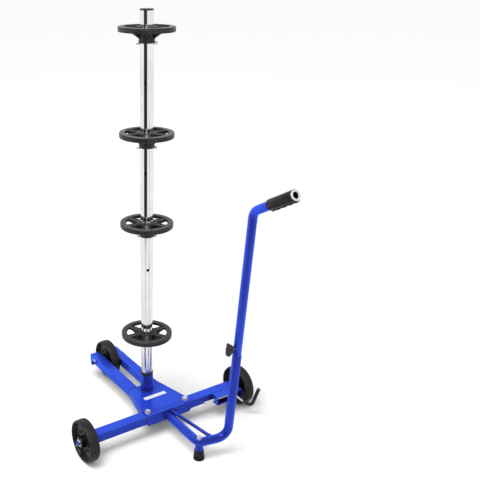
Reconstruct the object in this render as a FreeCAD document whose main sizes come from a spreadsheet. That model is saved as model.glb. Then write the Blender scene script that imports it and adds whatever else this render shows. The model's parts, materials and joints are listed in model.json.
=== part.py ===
import FreeCAD, Part
import math
import os
import Sketcher
from FreeCAD import Placement, Rotation, Vector

# Wheeled storage tree for car wheels: a chrome mast with four plastic support discs stands in a
# three-wheeled steel base that is pulled by a bent tube handle.
# The sub-parts are laid out from a point on the floor on the mast's axis: +Z up, +X along the crossbar
# towards the wheel lock, +Y towards the rear fork. On export everything moves so that the origin lies
# on the floor under the middle of the parking foot. All lengths are in millimetres.

doc = FreeCAD.newDocument("WheelTree")
sheet = doc.addObject("Spreadsheet::Sheet", "Dimensions")

DIMENSIONS = [
    # three road wheels
    ("wheel_dia", 145, "tyre diameter"),
    ("wheel_width", 36, "tyre width"),
    ("rim_radius", 66.5, "seat between plastic core and tyre"),
    ("rim_half_width", 17, "half width of the core's rim"),
    ("rim_inner", 64.5, "inside of the rim at its edge"),
    ("rim_root", 60, "inside of the rim at the web"),
    ("web_half", 6, "half thickness of the core's web"),
    ("hub_half", 23, "half length of the hub"),
    ("hub_radius", 21, "hub at the web"),
    ("hub_nose_radius", 19, "hub at its ends"),
    ("lightening_dia", 12, "round holes in the web"),
    ("lightening_circle", 34.5, "radius of the hole circle"),
    ("lightening_count", 10, "holes in the web"),
    ("axle_dia", 16, "axle tube outside"),
    ("axle_bore", 12, "axle tube inside"),
    ("running_gap", 0.06, "radial clearance of every running fit"),
    ("side_wheel_x", 321, "centre of a side wheel"),
    ("rear_wheel_y", 294.6, "centre of the rear wheel"),
    # base
    ("deck_top", 92.5, "upper face of the base plate"),
    ("sheet_thickness", 2.5, "base plate sheet"),
    ("deck_half", 91.3, "half width of the base plate at the crossbar"),
    ("deck_front", -153, "outer face of the front flange"),
    ("flange_depth", 39.5, "depth of the front flange"),
    ("skirt_depth", 30, "depth of the other flanges"),
    ("bend_y", 29.5, "rear end of the base plate"),
    ("leg_outer", 58.7, "outer face of a fork leg"),
    ("leg_width", 35, "fork leg tube width"),
    ("leg_end", 330, "rear end of the fork"),
    ("bar_depth", 38, "crossbar size along Y"),
    ("bar_height", 30, "crossbar size along Z"),
    ("bar_half", 294, "half length of the crossbar tube"),
    ("tube_wall", 2, "wall of the square tubes"),
    ("end_plate", 3, "welded tube end plates"),
    ("base_bolt_x", 78, "base bolts, either side of the mast"),
    ("base_bolt_dia", 10, "base bolt shank"),
    # mast
    ("mast_dia", 42, "upper mast tubes"),
    ("mast_bore", 38, "inside of the upper mast tubes"),
    ("lower_mast_dia", 39, "lowest mast tube"),
    ("lower_mast_bore", 35, "inside of the lowest mast tube"),
    ("spigot_bore", 34, "inside of the swaged spigots"),
    ("spigot_length", 60, "length of a swaged spigot"),
    ("mast_foot", 66, "upper face of the socket floor"),
    ("joint_low", 362, "shoulder under the middle tube"),
    ("joint_high", 791, "shoulder under the upper tube"),
    ("mast_end", 1417, "upper end of the mast tube"),
    ("mast_turn", -33, "direction of the cross pins, degrees from +X"),
    ("cross_pin_dia", 10, "cross pins"),
    ("cross_pin_length", 66, "cross pins"),
    ("socket_dia", 45, "socket tube outside"),
    ("socket_bore", 41, "socket tube inside"),
    ("socket_bottom", 62, "lower end of the socket"),
    ("socket_top", 159, "upper end of the socket"),
    ("collar_height", 8, "visible collar of the socket ring"),
    ("ring_sleeve", 29, "socket ring inside the socket"),
    # support discs, each named by the height of its upper face
    ("disc_low", 329, "lowest disc"),
    ("disc_second", 741, "second disc"),
    ("disc_third", 1045, "third disc"),
    ("disc_high", 1371, "highest disc"),
    ("disc_dia", 178, "support disc"),
    ("disc_rim_height", 16, "height of the rim"),
    ("disc_rim_inner", 71, "inside of the rim's flat top"),
    ("disc_wall", 5, "outer wall of the rim"),
    ("disc_web", 5, "thickness of the spokes"),
    ("disc_recess", 1.5, "spokes lie this far below the rim's top"),
    ("disc_hub_dia", 50, "hub outside"),
    ("disc_hub_flange", 33, "radius of the flat round the hub"),
    ("disc_pin_drop", 50, "cross pin below the disc's upper face"),
    ("spoke_width", 17, "spokes"),
    ("spoke_count", 6, "spokes"),
    ("gusset_thickness", 3, "gusset under each spoke"),
    # wheel lock
    ("box_start", 185, "inner side of the lock box"),
    ("box_end", 297, "outer side of the lock box"),
    ("box_front", -184.5, "open front of the lock box"),
    ("box_height", 33, "lock box"),
    ("pivot_x", 259, "lever pivot"),
    ("pivot_y", -178, "lever pivot"),
    ("rivet_dia", 6, "lever rivet"),
    ("lock_pin_dia", 10, "lock pin"),
    ("lock_pin_inner_end", 138, "inner end of the lock pin, unlocked"),
    ("lock_pin_outer_end", 309, "outer end of the lock pin, unlocked"),
    ("crank_radius", 13.6, "lever pivot to crank peg"),
    ("crank_half_turn", 40, "lever swing either side of the middle, degrees"),
    ("lever_angle", -45, "direction of the unlocked lever, degrees from +X"),
    ("lever_rod", 7, "lever rod"),
    ("lever_sleeve_dia", 13, "plastic sleeve on the lever"),
    # drawbar and handle
    ("drawbar_dia", 30, "drawbar tube outside"),
    ("drawbar_bore", 27.6, "drawbar tube inside"),
    ("drawbar_z", 67, "drawbar axis above the floor"),
    ("drawbar_x", -6, "drawbar axis beside the mast plane"),
    ("corner_y", -333, "corner of the drawbar"),
    ("upright_x", 98, "foot of the upright"),
    ("upright_y", -355, "foot of the upright"),
    ("handle_lean", 4.8, "lean of the upright towards -Y, degrees"),
    ("drawbar_end_z", 390, "upper end of the full drawbar tube"),
    ("tongue_end_z", 443, "upper end of the drawbar's clamp tongue"),
    ("knob_z", 421, "clamp knob axis"),
    ("handle_dia", 27.48, "handle tube outside"),
    ("handle_bore", 24.5, "handle tube inside"),
    ("handle_foot_z", 190, "lower end of the handle tube"),
    ("handle_corner_z", 882.5, "corner of the handle tube"),
    ("grip_rise", 29.6, "slope of the grip, degrees"),
    ("grip_start", 80, "grip from the handle corner"),
    ("grip_end", 191, "end of the grip from the handle corner"),
    ("grip_dia", 34, "rubber grip"),
    ("brace_dia", 12, "brace rod"),
    ("foot_x", 0, "middle of the parking foot"),
    ("foot_y", -329, "middle of the parking foot"),
    ("foot_leg_dia", 27, "foot leg outside"),
    ("foot_leg_bore", 23, "foot leg inside"),
    ("foot_cap_height", 36, "rubber foot cap"),
    ("foot_cap_dia", 38, "rubber foot cap at the floor"),
    ("foot_cap_top_dia", 31, "rubber foot cap at its top"),
]

for row, (alias, value, note) in enumerate(DIMENSIONS, start=1):
    sheet.set("A%d" % row, str(value))
    sheet.setAlias("A%d" % row, alias)
    sheet.set("B%d" % row, note)
doc.recompute()

NODES = []


def size(alias):
    """Value of one cell of the spreadsheet."""
    return float(sheet.get(alias))


def cell(text):
    """Turn the words of a formula into references to the spreadsheet's cells."""
    for alias in sorted((entry[0] for entry in DIMENSIONS), key=len, reverse=True):
        text = text.replace(alias, "<<%d>>" % [entry[0] for entry in DIMENSIONS].index(alias))
    for number in reversed(range(len(DIMENSIONS))):
        text = text.replace("<<%d>>" % number, "Dimensions." + DIMENSIONS[number][0])
    return text


def bind(solid, **formulas):
    """Bind properties to formulas; a double underscore in a name stands for a dot."""
    for name, formula in formulas.items():
        solid.setExpression(name.replace("__", "."), cell(formula))
    return solid


def node(solid, label):
    """Name an object as one exported sub-part."""
    solid.Label = label
    NODES.append(solid)
    return solid


TURNED = {
    "X": Rotation(Vector(0, 1, 0), 90),
    "Y": Rotation(Vector(1, 0, 0), -90),
    "Z": Rotation(),
}


def place(solid, at, axis="Z"):
    """Turn a primitive to an axis and bind its position to three formulas."""
    solid.Placement = Placement(Vector(), TURNED[axis])
    return bind(solid, Placement__Base__x=at[0], Placement__Base__y=at[1], Placement__Base__z=at[2])


def box(name, length, width, height, at):
    solid = doc.addObject("Part::Box", name)
    bind(solid, Length=length, Width=width, Height=height)
    return place(solid, at)


def rod(name, radius, length, at, axis="Z"):
    solid = doc.addObject("Part::Cylinder", name)
    bind(solid, Radius=radius, Height=length)
    return place(solid, at, axis)


def cone(name, radius_low, radius_high, height, at, axis="Z"):
    solid = doc.addObject("Part::Cone", name)
    bind(solid, Radius1=radius_low, Radius2=radius_high, Height=height)
    return place(solid, at, axis)


def hexagon(name, across_flats, height, at):
    """Hexagonal prism along Z."""
    solid = doc.addObject("Part::Prism", name)
    solid.Polygon = 6
    bind(solid, Circumradius="(%s) / 2 / cos(30)" % across_flats, Height=height)
    return place(solid, at)


def cut(name, base, tool):
    solid = doc.addObject("Part::Cut", name)
    solid.Base = base
    solid.Tool = tool
    return solid


def fuse(name, *solids):
    solid = doc.addObject("Part::MultiFuse", name)
    solid.Shapes = list(solids)
    solid.Refine = True
    return solid


def group(name, *solids):
    """Separate solids that share one node."""
    solid = doc.addObject("Part::Compound", name)
    solid.Links = list(solids)
    return solid


def pipe(name, outer, inner, length, at, axis="Z"):
    """Straight round tube from formulas for its radii and length."""
    skin = rod(name + "_skin", outer, length, at, axis)
    return cut(name, skin, rod(name + "_void", inner, length, at, axis))


def made(name, shape):
    """Sub-part whose shape is worked out from the spreadsheet's values in this file."""
    solid = doc.addObject("Part::Feature", name)
    solid.Shape = shape
    return solid


def rounded_path(corners, radii):
    """Wire through the corners, with an arc of the given radius at each inner corner."""
    start = corners[0]
    edges = []
    for before, corner, after, radius in zip(corners, corners[1:], corners[2:], radii):
        back = (before - corner).normalize()
        ahead = (after - corner).normalize()
        half = back.getAngle(ahead) / 2
        reach = radius / math.tan(half)
        inward = (back + ahead).normalize()
        entry = corner + back * reach
        leave = corner + ahead * reach
        middle = corner + inward * (radius / math.sin(half) - radius)
        edges.append(Part.makeLine(start, entry))
        edges.append(Part.Arc(entry, middle, leave).toShape())
        start = leave
    edges.append(Part.makeLine(start, corners[-1]))
    return Part.Wire(edges)


def swept_rod(path, radius):
    """Solid round bar along a path."""
    start = path.Edges[0].Vertexes[0].Point
    direction = path.Edges[0].tangentAt(path.Edges[0].FirstParameter)
    profile = Part.Wire([Part.makeCircle(radius, start, direction)])
    return path.makePipeShell([profile], True, False)


# ---------------------------------------------------------------- sketches and bodies


def origin_plane(body, role):
    return next(feature for feature in body.Origin.OriginFeatures if feature.Role == role)


def new_sketch(body, role, name):
    sketch = body.newObject("Sketcher::SketchObject", name)
    sketch.AttachmentSupport = (origin_plane(body, role), [""])
    sketch.MapMode = "FlatFace"
    return sketch


def outline(sketch, corners):
    """Closed outline of straight edges; both coordinates of every corner follow the spreadsheet."""
    doc.recompute()
    first = len(sketch.Geometry)
    points = [Vector(value_of(x), value_of(y), 0) for x, y in corners]
    count = len(points)
    for number in range(count):
        sketch.addGeometry(Part.LineSegment(points[number], points[(number + 1) % count]), False)
    for number in range(count):
        follower = first + (number + 1) % count
        sketch.addConstraint(Sketcher.Constraint("Coincident", first + number, 2, follower, 1))
    for number, (x, y) in enumerate(corners):
        for kind, formula, value in (("DistanceX", x, points[number].x), ("DistanceY", y, points[number].y)):
            index = sketch.addConstraint(Sketcher.Constraint(kind, -1, 1, first + number, 1, value))
            sketch.setExpression("Constraints[%d]" % index, cell(formula))
    return sketch


def round_hole(sketch, radius, x, y):
    """Circle in a sketch with bound radius and centre."""
    doc.recompute()
    centre = Vector(value_of(x), value_of(y), 0)
    index = sketch.addGeometry(Part.Circle(centre, Vector(0, 0, 1), value_of(radius)), False)
    for kind, formula, value in (("DistanceX", x, centre.x), ("DistanceY", y, centre.y)):
        number = sketch.addConstraint(Sketcher.Constraint(kind, -1, 1, index, 3, value))
        sketch.setExpression("Constraints[%d]" % number, cell(formula))
    number = sketch.addConstraint(Sketcher.Constraint("Radius", index, value_of(radius)))
    sketch.setExpression("Constraints[%d]" % number, cell(radius))
    return sketch


probe = doc.addObject("Part::Vertex", "FormulaProbe")


def value_of(formula):
    """Present value of a formula, as the document works it out."""
    probe.setExpression("X", cell(formula))
    probe.recompute()
    return probe.X.Value


def pad(body, name, sketch, length, reverse=False, middle=False):
    feature = body.newObject("PartDesign::Pad", name)
    feature.Profile = sketch
    feature.Reversed = reverse
    feature.Midplane = middle
    bind(feature, Length=length)
    doc.recompute()
    return feature


def pocket(body, name, sketch, depth, reverse=False, middle=False):
    """Pocket that must take material away."""
    before = body.Shape.Volume
    feature = body.newObject("PartDesign::Pocket", name)
    feature.Profile = sketch
    feature.Reversed = reverse
    feature.Midplane = middle
    bind(feature, Length=depth)
    doc.recompute()
    if body.Shape.Volume > before - 1:
        raise RuntimeError(name + " cuts nothing")
    return feature


def revolve(body, name, sketch, axis):
    feature = body.newObject("PartDesign::Revolution", name)
    feature.Profile = sketch
    feature.ReferenceAxis = (origin_plane(body, axis), [""])
    feature.Angle = 360
    doc.recompute()
    return feature


# ---------------------------------------------------------------- base


BAR_MIDDLE = "(deck_front + sheet_thickness + bar_depth / 2)"
BAR_BOTTOM = "(deck_top - sheet_thickness - bar_height)"


def base_plate():
    """Folded sheet: top, deep front flange, slanting side flanges and a rear web between the legs."""
    body = doc.addObject("PartDesign::Body", "BasePlate")
    bar_rear = "deck_front + sheet_thickness + bar_depth"
    shape = [
        ("-deck_half", "deck_front"), ("deck_half", "deck_front"), ("deck_half", bar_rear),
        ("leg_outer", "bend_y"), ("-leg_outer", "bend_y"), ("-deck_half", bar_rear),
    ]
    sheet_outline = outline(new_sketch(body, "XY_Plane", "SheetOutline"), shape)
    pad(body, "Sheet", sheet_outline, "flange_depth", reverse=True)
    inside = [
        ("-deck_half - 1", "deck_front + sheet_thickness"), ("deck_half + 1", "deck_front + sheet_thickness"),
        ("deck_half + 1", bar_rear), ("deck_half - sheet_thickness", bar_rear),
        ("leg_outer - sheet_thickness", "bend_y - sheet_thickness"),
        ("-leg_outer + sheet_thickness", "bend_y - sheet_thickness"),
        ("-deck_half + sheet_thickness", bar_rear), ("-deck_half - 1", bar_rear),
    ]
    hollow = outline(new_sketch(body, "XY_Plane", "HollowOutline"), inside)
    hollow.setExpression("AttachmentOffset.Base.z", cell("-flange_depth"))
    pocket(body, "Hollow", hollow, "flange_depth - sheet_thickness", reverse=True)
    behind = [
        ("-deck_half - 1", "deck_front + sheet_thickness"), ("deck_half + 1", "deck_front + sheet_thickness"),
        ("deck_half + 1", "bend_y + 1"), ("-deck_half - 1", "bend_y + 1"),
    ]
    skirt = outline(new_sketch(body, "XY_Plane", "SkirtOutline"), behind)
    skirt.setExpression("AttachmentOffset.Base.z", cell("-flange_depth"))
    pocket(body, "SkirtTrim", skirt, "flange_depth - skirt_depth", reverse=True)
    corner = [
        ("deck_half - 9", "-flange_depth"), ("deck_half", "-flange_depth + 8"),
        ("deck_half + 2", "-flange_depth + 8"), ("deck_half + 2", "-flange_depth - 1"),
        ("deck_half - 9", "-flange_depth - 1"),
    ]
    clip = outline(new_sketch(body, "XZ_Plane", "CornerOutline"), corner)
    pocket(body, "CornerClip", clip, "-2 * deck_front + 4", middle=True)
    holes = new_sketch(body, "XY_Plane", "HoleOutline")
    round_hole(holes, "socket_dia / 2", "0", "0")
    for side in ("", "-"):
        round_hole(holes, "base_bolt_dia / 2 + 0.5", side + "base_bolt_x", BAR_MIDDLE)
    pocket(body, "Holes", holes, "sheet_thickness * 2", middle=True)
    bind(body, Placement__Base__z="deck_top")
    return node(body, "base_plate")


def crossbar():
    """Square tube through the base plate, with the two holes of the base bolts."""
    low = "deck_front + sheet_thickness"
    skin = box("BarSkin", "2 * bar_half", "bar_depth", "bar_height", ("-bar_half", low, BAR_BOTTOM))
    void = box("BarVoid", "2 * bar_half", "bar_depth - 2 * tube_wall", "bar_height - 2 * tube_wall",
               ("-bar_half", low + " + tube_wall", BAR_BOTTOM + " + tube_wall"))
    holes = [rod("BarHole" + tag, "base_bolt_dia / 2 + 0.3", "bar_height + 2",
                 (sign + "base_bolt_x", BAR_MIDDLE, BAR_BOTTOM + " - 1"))
             for tag, sign in (("Right", ""), ("Left", "-"))]
    holes += [rod("BarAxleHole" + tag, "axle_dia / 2", "bar_half - side_wheel_x + hub_half + 34",
                  (start, BAR_MIDDLE, "wheel_dia / 2"), "X")
              for tag, start in (("Right", "side_wheel_x - hub_half - 34"), ("Left", "-bar_half"))]
    node(cut("Crossbar", cut("BarTube", skin, void), group("BarHoles", *holes)), "crossbar")
    plates = []
    for tag, start in (("Right", "bar_half"), ("Left", "-bar_half - end_plate")):
        plate = box("BarEnd" + tag, "end_plate", "bar_depth", "bar_height", (start, low, BAR_BOTTOM))
        bore = rod("BarEndBore" + tag, "axle_dia / 2", "end_plate", (start, BAR_MIDDLE, "wheel_dia / 2"), "X")
        plates.append(cut("BarEndPlate" + tag, plate, bore))
    node(group("CrossbarEndPlates", *plates), "crossbar_end_plates")


def fork():
    """Two rear legs of square tube, closed by welded end plates and drilled for the rear axle."""
    floor = "deck_top - skirt_depth"
    plates = []
    for tag, start in (("right", "leg_outer - leg_width"), ("left", "-leg_outer")):
        skin = box("LegSkin_" + tag, "leg_width", "leg_end - bend_y", "skirt_depth", (start, "bend_y", floor))
        void = box("LegVoid_" + tag, "leg_width - 2 * tube_wall", "leg_end - bend_y",
                   "skirt_depth - 2 * tube_wall", (start + " + tube_wall", "bend_y", floor + " + tube_wall"))
        at = (start, "rear_wheel_y", "wheel_dia / 2")
        bore = rod("LegBore_" + tag, "axle_dia / 2", "leg_width", at, "X")
        node(cut("Leg_" + tag, skin, group("LegCuts_" + tag, void, bore)), "fork_leg_" + tag)
        corner = (start + " + tube_wall", "leg_end - end_plate", floor + " + tube_wall")
        plates.append(box("LegEnd_" + tag, "leg_width - 2 * tube_wall", "end_plate",
                          "skirt_depth - 2 * tube_wall", corner))
    node(group("ForkEndPlates", *plates), "fork_end_plates")


def mast_socket():
    node(pipe("Socket", "socket_dia / 2", "socket_bore / 2", "socket_top - socket_bottom",
              ("0", "0", "socket_bottom")), "mast_socket")
    node(rod("SocketFloor", "socket_bore / 2", "mast_foot - socket_bottom", ("0", "0", "socket_bottom")),
         "socket_floor")
    collar = rod("RingCollar", "socket_dia / 2", "collar_height", ("0", "0", "socket_top"))
    sleeve = rod("RingSleeve", "socket_bore / 2", "ring_sleeve", ("0", "0", "socket_top - ring_sleeve"))
    bore = rod("RingBore", "lower_mast_dia / 2 + running_gap", "ring_sleeve + collar_height",
               ("0", "0", "socket_top - ring_sleeve"))
    node(cut("SocketRing", fuse("RingBlank", collar, sleeve), bore), "socket_ring")


def base_fasteners():
    """Two bolts hold the crossbar in the base plate, each with two washers and a nut."""
    bolts = []
    washers = []
    nuts = []
    head = 6.4
    washer = 2
    nut = 8
    for tag, x in (("Right", "base_bolt_x"), ("Left", "-base_bolt_x")):
        shank = rod("BoltShank" + tag, "base_bolt_dia / 2",
                    "bar_height + sheet_thickness + %g" % (2 * washer + nut + 3),
                    (x, BAR_MIDDLE, BAR_BOTTOM + " - %g" % (washer + nut + 3)))
        top = hexagon("BoltHead" + tag, "17", str(head), (x, BAR_MIDDLE, "deck_top + %g" % washer))
        bolts.append(fuse("Bolt" + tag, shank, top))
        for end, z in (("Top", "deck_top"), ("Low", BAR_BOTTOM + " - %g" % washer)):
            washers.append(pipe("BoltWasher" + end + tag, "10.5", "base_bolt_dia / 2 + 0.2", str(washer),
                                (x, BAR_MIDDLE, z)))
        seat = (x, BAR_MIDDLE, BAR_BOTTOM + " - %g" % (washer + nut))
        blank = hexagon("NutBlank" + tag, "17", str(nut), seat)
        thread = rod("NutThread" + tag, "base_bolt_dia / 2", str(nut), seat)
        nuts.append(cut("Nut" + tag, blank, thread))
    node(group("BaseBolts", *bolts), "base_bolts")
    node(group("BaseWashers", *washers), "base_bolt_washers")
    node(group("BaseNuts", *nuts), "base_nuts")


def blank_label():
    node(box("Label", "90", "17", "0.6", ("-45", "-64", "deck_top")), "blank_label")


# ---------------------------------------------------------------- road wheels


def wheel_bodies(tag, x, y):
    """Plastic core with ten round holes, and the rubber tyre on its rim; the axle lies along X."""
    core = doc.addObject("PartDesign::Body", "WheelCore_" + tag)
    bore = "axle_dia / 2 + running_gap"
    half = [
        ("-hub_half", bore), ("hub_half", bore), ("hub_half", "hub_nose_radius - 1"),
        ("hub_half - 1", "hub_nose_radius"), ("web_half + 1.5", "hub_radius"),
        ("web_half + 1.5", "hub_radius + 4"), ("web_half", "hub_radius + 5"), ("web_half", "rim_root - 1.5"),
        ("web_half + 1.5", "rim_root"), ("rim_half_width", "rim_inner"), ("rim_half_width", "rim_radius"),
    ]
    mirrored = [("-(%s)" % a, r) for a, r in reversed(half[2:])]
    profile = outline(new_sketch(core, "XZ_Plane", "CoreOutline_" + tag), half + mirrored)
    revolve(core, "CoreTurn_" + tag, profile, "X_Axis")
    hole = round_hole(new_sketch(core, "YZ_Plane", "HoleOutline_" + tag), "lightening_dia / 2",
                      "-lightening_circle", "0")
    one = pocket(core, "Hole_" + tag, hole, "2 * web_half + 8", middle=True)
    ring = core.newObject("PartDesign::PolarPattern", "HoleRing_" + tag)
    ring.Originals = [one]
    ring.Axis = (origin_plane(core, "X_Axis"), [""])
    ring.Angle = 360
    bind(ring, Occurrences="lightening_count")
    core.Tip = ring
    doc.recompute()
    bind(core, Placement__Base__x=x, Placement__Base__y=y, Placement__Base__z="wheel_dia / 2")
    node(core, "wheel_core_" + tag)

    tyre = doc.addObject("PartDesign::Body", "Tyre_" + tag)
    side = "wheel_width / 2"
    half = [
        (side, "rim_radius"), (side, "wheel_dia / 2 - 4.5"), (side + " - 1.2", "wheel_dia / 2 - 2.6"),
        (side + " - 3.4", "wheel_dia / 2 - 1"), (side + " - 7", "wheel_dia / 2 - 0.2"),
        ("5", "wheel_dia / 2"),
    ]
    mirrored = [("-(%s)" % a, r) for a, r in reversed(half)]
    profile = outline(new_sketch(tyre, "XZ_Plane", "TyreOutline_" + tag), half + mirrored)
    revolve(tyre, "TyreTurn_" + tag, profile, "X_Axis")
    bind(tyre, Placement__Base__x=x, Placement__Base__y=y, Placement__Base__z="wheel_dia / 2")
    node(tyre, "tyre_" + tag)


COTTER_EYE = 2.8
COTTER_WIRE = 1
COTTER_TILT = 38
COTTER_LEGS = (33, 45)


def cotter_shape():
    """Split pin through an axle end along Z: round eye on top, two legs of unequal length below."""
    eye = Part.makeTorus(COTTER_EYE, COTTER_WIRE, Vector(0, 0, 0), Vector(1, 0, 0))
    legs = []
    for side, length in zip((-1, 1), COTTER_LEGS):
        start = Vector(0, side * COTTER_WIRE * 0.9, -COTTER_EYE)
        legs.append(Part.makeCylinder(COTTER_WIRE * 0.85, length, start, Vector(0, 0, -1)))
    return eye.fuse(legs).removeSplitter()


def axles():
    """Hollow axles, the washers outside the hubs and the split pins that keep the wheels on."""
    washer = 1.5
    reach = 31
    pin_beyond_hub = 4.6
    pin_beyond_leg = 5.6
    side_pin = size("side_wheel_x") + size("hub_half") + pin_beyond_hub
    rear_pin = size("leg_outer") + pin_beyond_leg
    for tag, start, pin_x in (("left", "-side_wheel_x - %g" % reach, -side_pin),
                              ("right", "side_wheel_x - hub_half - 34", side_pin)):
        tube = pipe("AxleTube_" + tag, "axle_dia / 2", "axle_bore / 2", "hub_half + %g" % (34 + reach),
                    (start, BAR_MIDDLE, "wheel_dia / 2"), "X")
        hole = cotter_hole("AxleHole_" + tag, pin_x, BAR_MIDDLE)
        node(cut("Axle_" + tag, tube, hole), "axle_" + tag)
    tube = pipe("AxleTube_rear", "axle_dia / 2", "axle_bore / 2", "2 * leg_outer + 26",
                ("-leg_outer - 13", "rear_wheel_y", "wheel_dia / 2"), "X")
    holes = [cotter_hole("AxleHole_rear%d" % side, side * rear_pin, "rear_wheel_y") for side in (-1, 1)]
    node(cut("Axle_rear", tube, group("AxleHoles_rear", *holes)), "axle_rear")
    seats = [
        ("Left", "-side_wheel_x - hub_half - %g" % (washer + 0.5), BAR_MIDDLE),
        ("Right", "side_wheel_x + hub_half + 0.5", BAR_MIDDLE),
        ("RearLeft", "-leg_outer - %g" % washer, "rear_wheel_y"),
        ("RearRight", "leg_outer", "rear_wheel_y"),
    ]
    washers = [pipe("AxleWasher" + tag, "12.5", "axle_dia / 2", str(washer), (x, y, "wheel_dia / 2"), "X")
               for tag, x, y in seats]
    node(group("AxleWashers", *washers), "axle_washers")
    places = [(-side_pin, bar_middle()), (side_pin, bar_middle()),
              (-rear_pin, size("rear_wheel_y")), (rear_pin, size("rear_wheel_y"))]
    pins = []
    for number, (x, y) in enumerate(places):
        pin = made("Cotter%d" % number, cotter_shape())
        centre = Vector(x, y, size("wheel_dia") / 2)
        turned = Rotation(Vector(1, 0, 0), COTTER_TILT)
        above = size("axle_dia") / 2 + COTTER_EYE + COTTER_WIRE
        pin.Placement = Placement(centre + turned.multVec(Vector(0, 0, above)), turned)
        pins.append(pin)
    node(group("CotterPins", *pins), "cotter_pins")


def cotter_hole(name, x, y):
    """Tilted hole through an axle for a split pin."""
    hole = rod(name, "1.9", "axle_dia + 4", (str(x), y, "wheel_dia / 2"))
    turned = Rotation(Vector(1, 0, 0), COTTER_TILT)
    hole.Placement = Placement(Vector(), turned)
    half = size("axle_dia") / 2 + 2
    shift = turned.multVec(Vector(0, 0, -half))
    return bind(hole, Placement__Base__y="%s + (%.4f)" % (y, shift.y),
                Placement__Base__z="wheel_dia / 2 + (%.4f)" % shift.z)


def bar_middle():
    return size("deck_front") + size("sheet_thickness") + size("bar_depth") / 2


# ---------------------------------------------------------------- mast and discs


# heights of the mast's holes that hold no pin, and their turn from the mast's own -Y
FREE_HOLES = {"Middle": (["573"], 11.5), "Upper": (["912", "1204"], -9.5)}
# first spoke's direction, corner radius of the openings, and the raised lip round them
SPOKE_START = 30
OPENING_CORNER = 4.5
LIP_WIDTH = 2.2
LIP_HEIGHT = 1.2


def turned_with_mast(solid):
    """The mast's cross holes run along local X; the whole mast stands turned about its axis."""
    solid.Placement = Placement(Vector(), Rotation(Vector(0, 0, 1), size("mast_turn")))
    return solid


def cross_hole(name, z):
    """Hole for a cross pin, along the mast's local X."""
    return rod(name, "cross_pin_dia / 2 + running_gap", "2 * mast_dia", ("-mast_dia", "0", z), "X")


def free_holes(tube):
    """Spare cross holes of one tube, all turned by the same angle."""
    heights, turn = FREE_HOLES[tube]
    holes = []
    for z in heights:
        radius = "cross_pin_dia / 2 + running_gap"
        hole = rod("FreeHole" + tube + z, radius, "2 * mast_dia", ("0", "0", z), "Y")
        hole.Placement = Placement(Vector(), Rotation(Vector(0, 0, 1), turn) * TURNED["Y"])
        bind(hole, Placement__Base__x="mast_dia * sin(%g deg)" % turn,
             Placement__Base__y="-mast_dia * cos(%g deg)" % turn, Placement__Base__z=z)
        holes.append(hole)
    return holes


def mast():
    """Three plug-together tubes; each lower one ends in a swaged spigot inside the next."""
    spigot = "mast_bore / 2 - 0.05"
    low_skin = fuse("LowSkin", rod("LowOuter", "lower_mast_dia / 2", "joint_low - mast_foot - 0.05",
                                   ("0", "0", "mast_foot + 0.05")),
                    rod("LowSpigot", spigot, "spigot_length", ("0", "0", "joint_low")))
    low_void = fuse("LowVoid", rod("LowBore", "lower_mast_bore / 2", "joint_low - mast_foot - 8",
                                   ("0", "0", "mast_foot")),
                    rod("LowSpigotBore", "spigot_bore / 2", "spigot_length + 12", ("0", "0", "joint_low - 10")))
    low_holes = group("LowHoles", cross_hole("LowPinHole", "disc_low - disc_pin_drop"),
                      cross_hole("LowJointHole", "joint_low + 15"))
    node(turned_with_mast(cut("MastLower", cut("LowTube", low_skin, low_void), low_holes)), "mast_lower")

    low_end = ("0", "0", "joint_low")
    mid_skin = fuse("MidSkin", rod("MidOuter", "mast_dia / 2", "joint_high - joint_low", low_end),
                    rod("MidSpigot", spigot, "spigot_length", ("0", "0", "joint_high")))
    mid_void = fuse("MidVoid", rod("MidBore", "mast_bore / 2", "joint_high - joint_low - 10", low_end),
                    rod("MidSpigotBore", "spigot_bore / 2", "spigot_length + 12",
                        ("0", "0", "joint_high - 12")))
    mid_holes = group("MidHoles", cross_hole("MidPinHole", "disc_second - disc_pin_drop"),
                      cross_hole("MidJointHole", "joint_low + 15"),
                      *free_holes("Middle"))
    node(turned_with_mast(cut("MastMiddle", cut("MidTube", mid_skin, mid_void), mid_holes)), "mast_middle")

    top_tube = pipe("TopTube", "mast_dia / 2", "mast_bore / 2", "mast_end - joint_high",
                    ("0", "0", "joint_high"))
    top_holes = group("TopHoles", cross_hole("ThirdPinHole", "disc_third - disc_pin_drop"),
                      cross_hole("HighPinHole", "disc_high - disc_pin_drop"),
                      *free_holes("Upper"))
    node(turned_with_mast(cut("MastUpper", top_tube, top_holes)), "mast_upper")

    lid = rod("CapLid", "mast_dia / 2", "5", ("0", "0", "mast_end"))
    plug = rod("CapPlug", "mast_bore / 2", "20", ("0", "0", "mast_end - 20"))
    hollow = rod("CapHollow", "mast_bore / 2 - 2", "18", ("0", "0", "mast_end - 20"))
    node(cut("MastCap", fuse("CapBlank", lid, plug), hollow), "mast_cap")


def disc_openings():
    """Six faces at z = 0 between the spokes, with rounded corners."""
    outer = size("disc_rim_inner")
    count = int(size("spoke_count"))
    width = size("spoke_width")
    field = Part.makeCylinder(outer, 1).cut(Part.makeCylinder(size("disc_hub_flange"), 1))
    for number in range(count // 2):
        beam = Part.makeBox(4 * outer, width, 1, Vector(-2 * outer, -width / 2, 0))
        beam.rotate(Vector(), Vector(0, 0, 1), SPOKE_START + number * 360 / count)
        field = field.cut(beam)
    floors = [face for solid in field.Solids for face in solid.Faces
              if abs(face.CenterOfMass.z) < 1e-6 and abs(face.BoundBox.ZLength) < 1e-6]
    return [face.makeOffset2D(-OPENING_CORNER).makeOffset2D(OPENING_CORNER).Faces[0] for face in floors]


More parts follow.
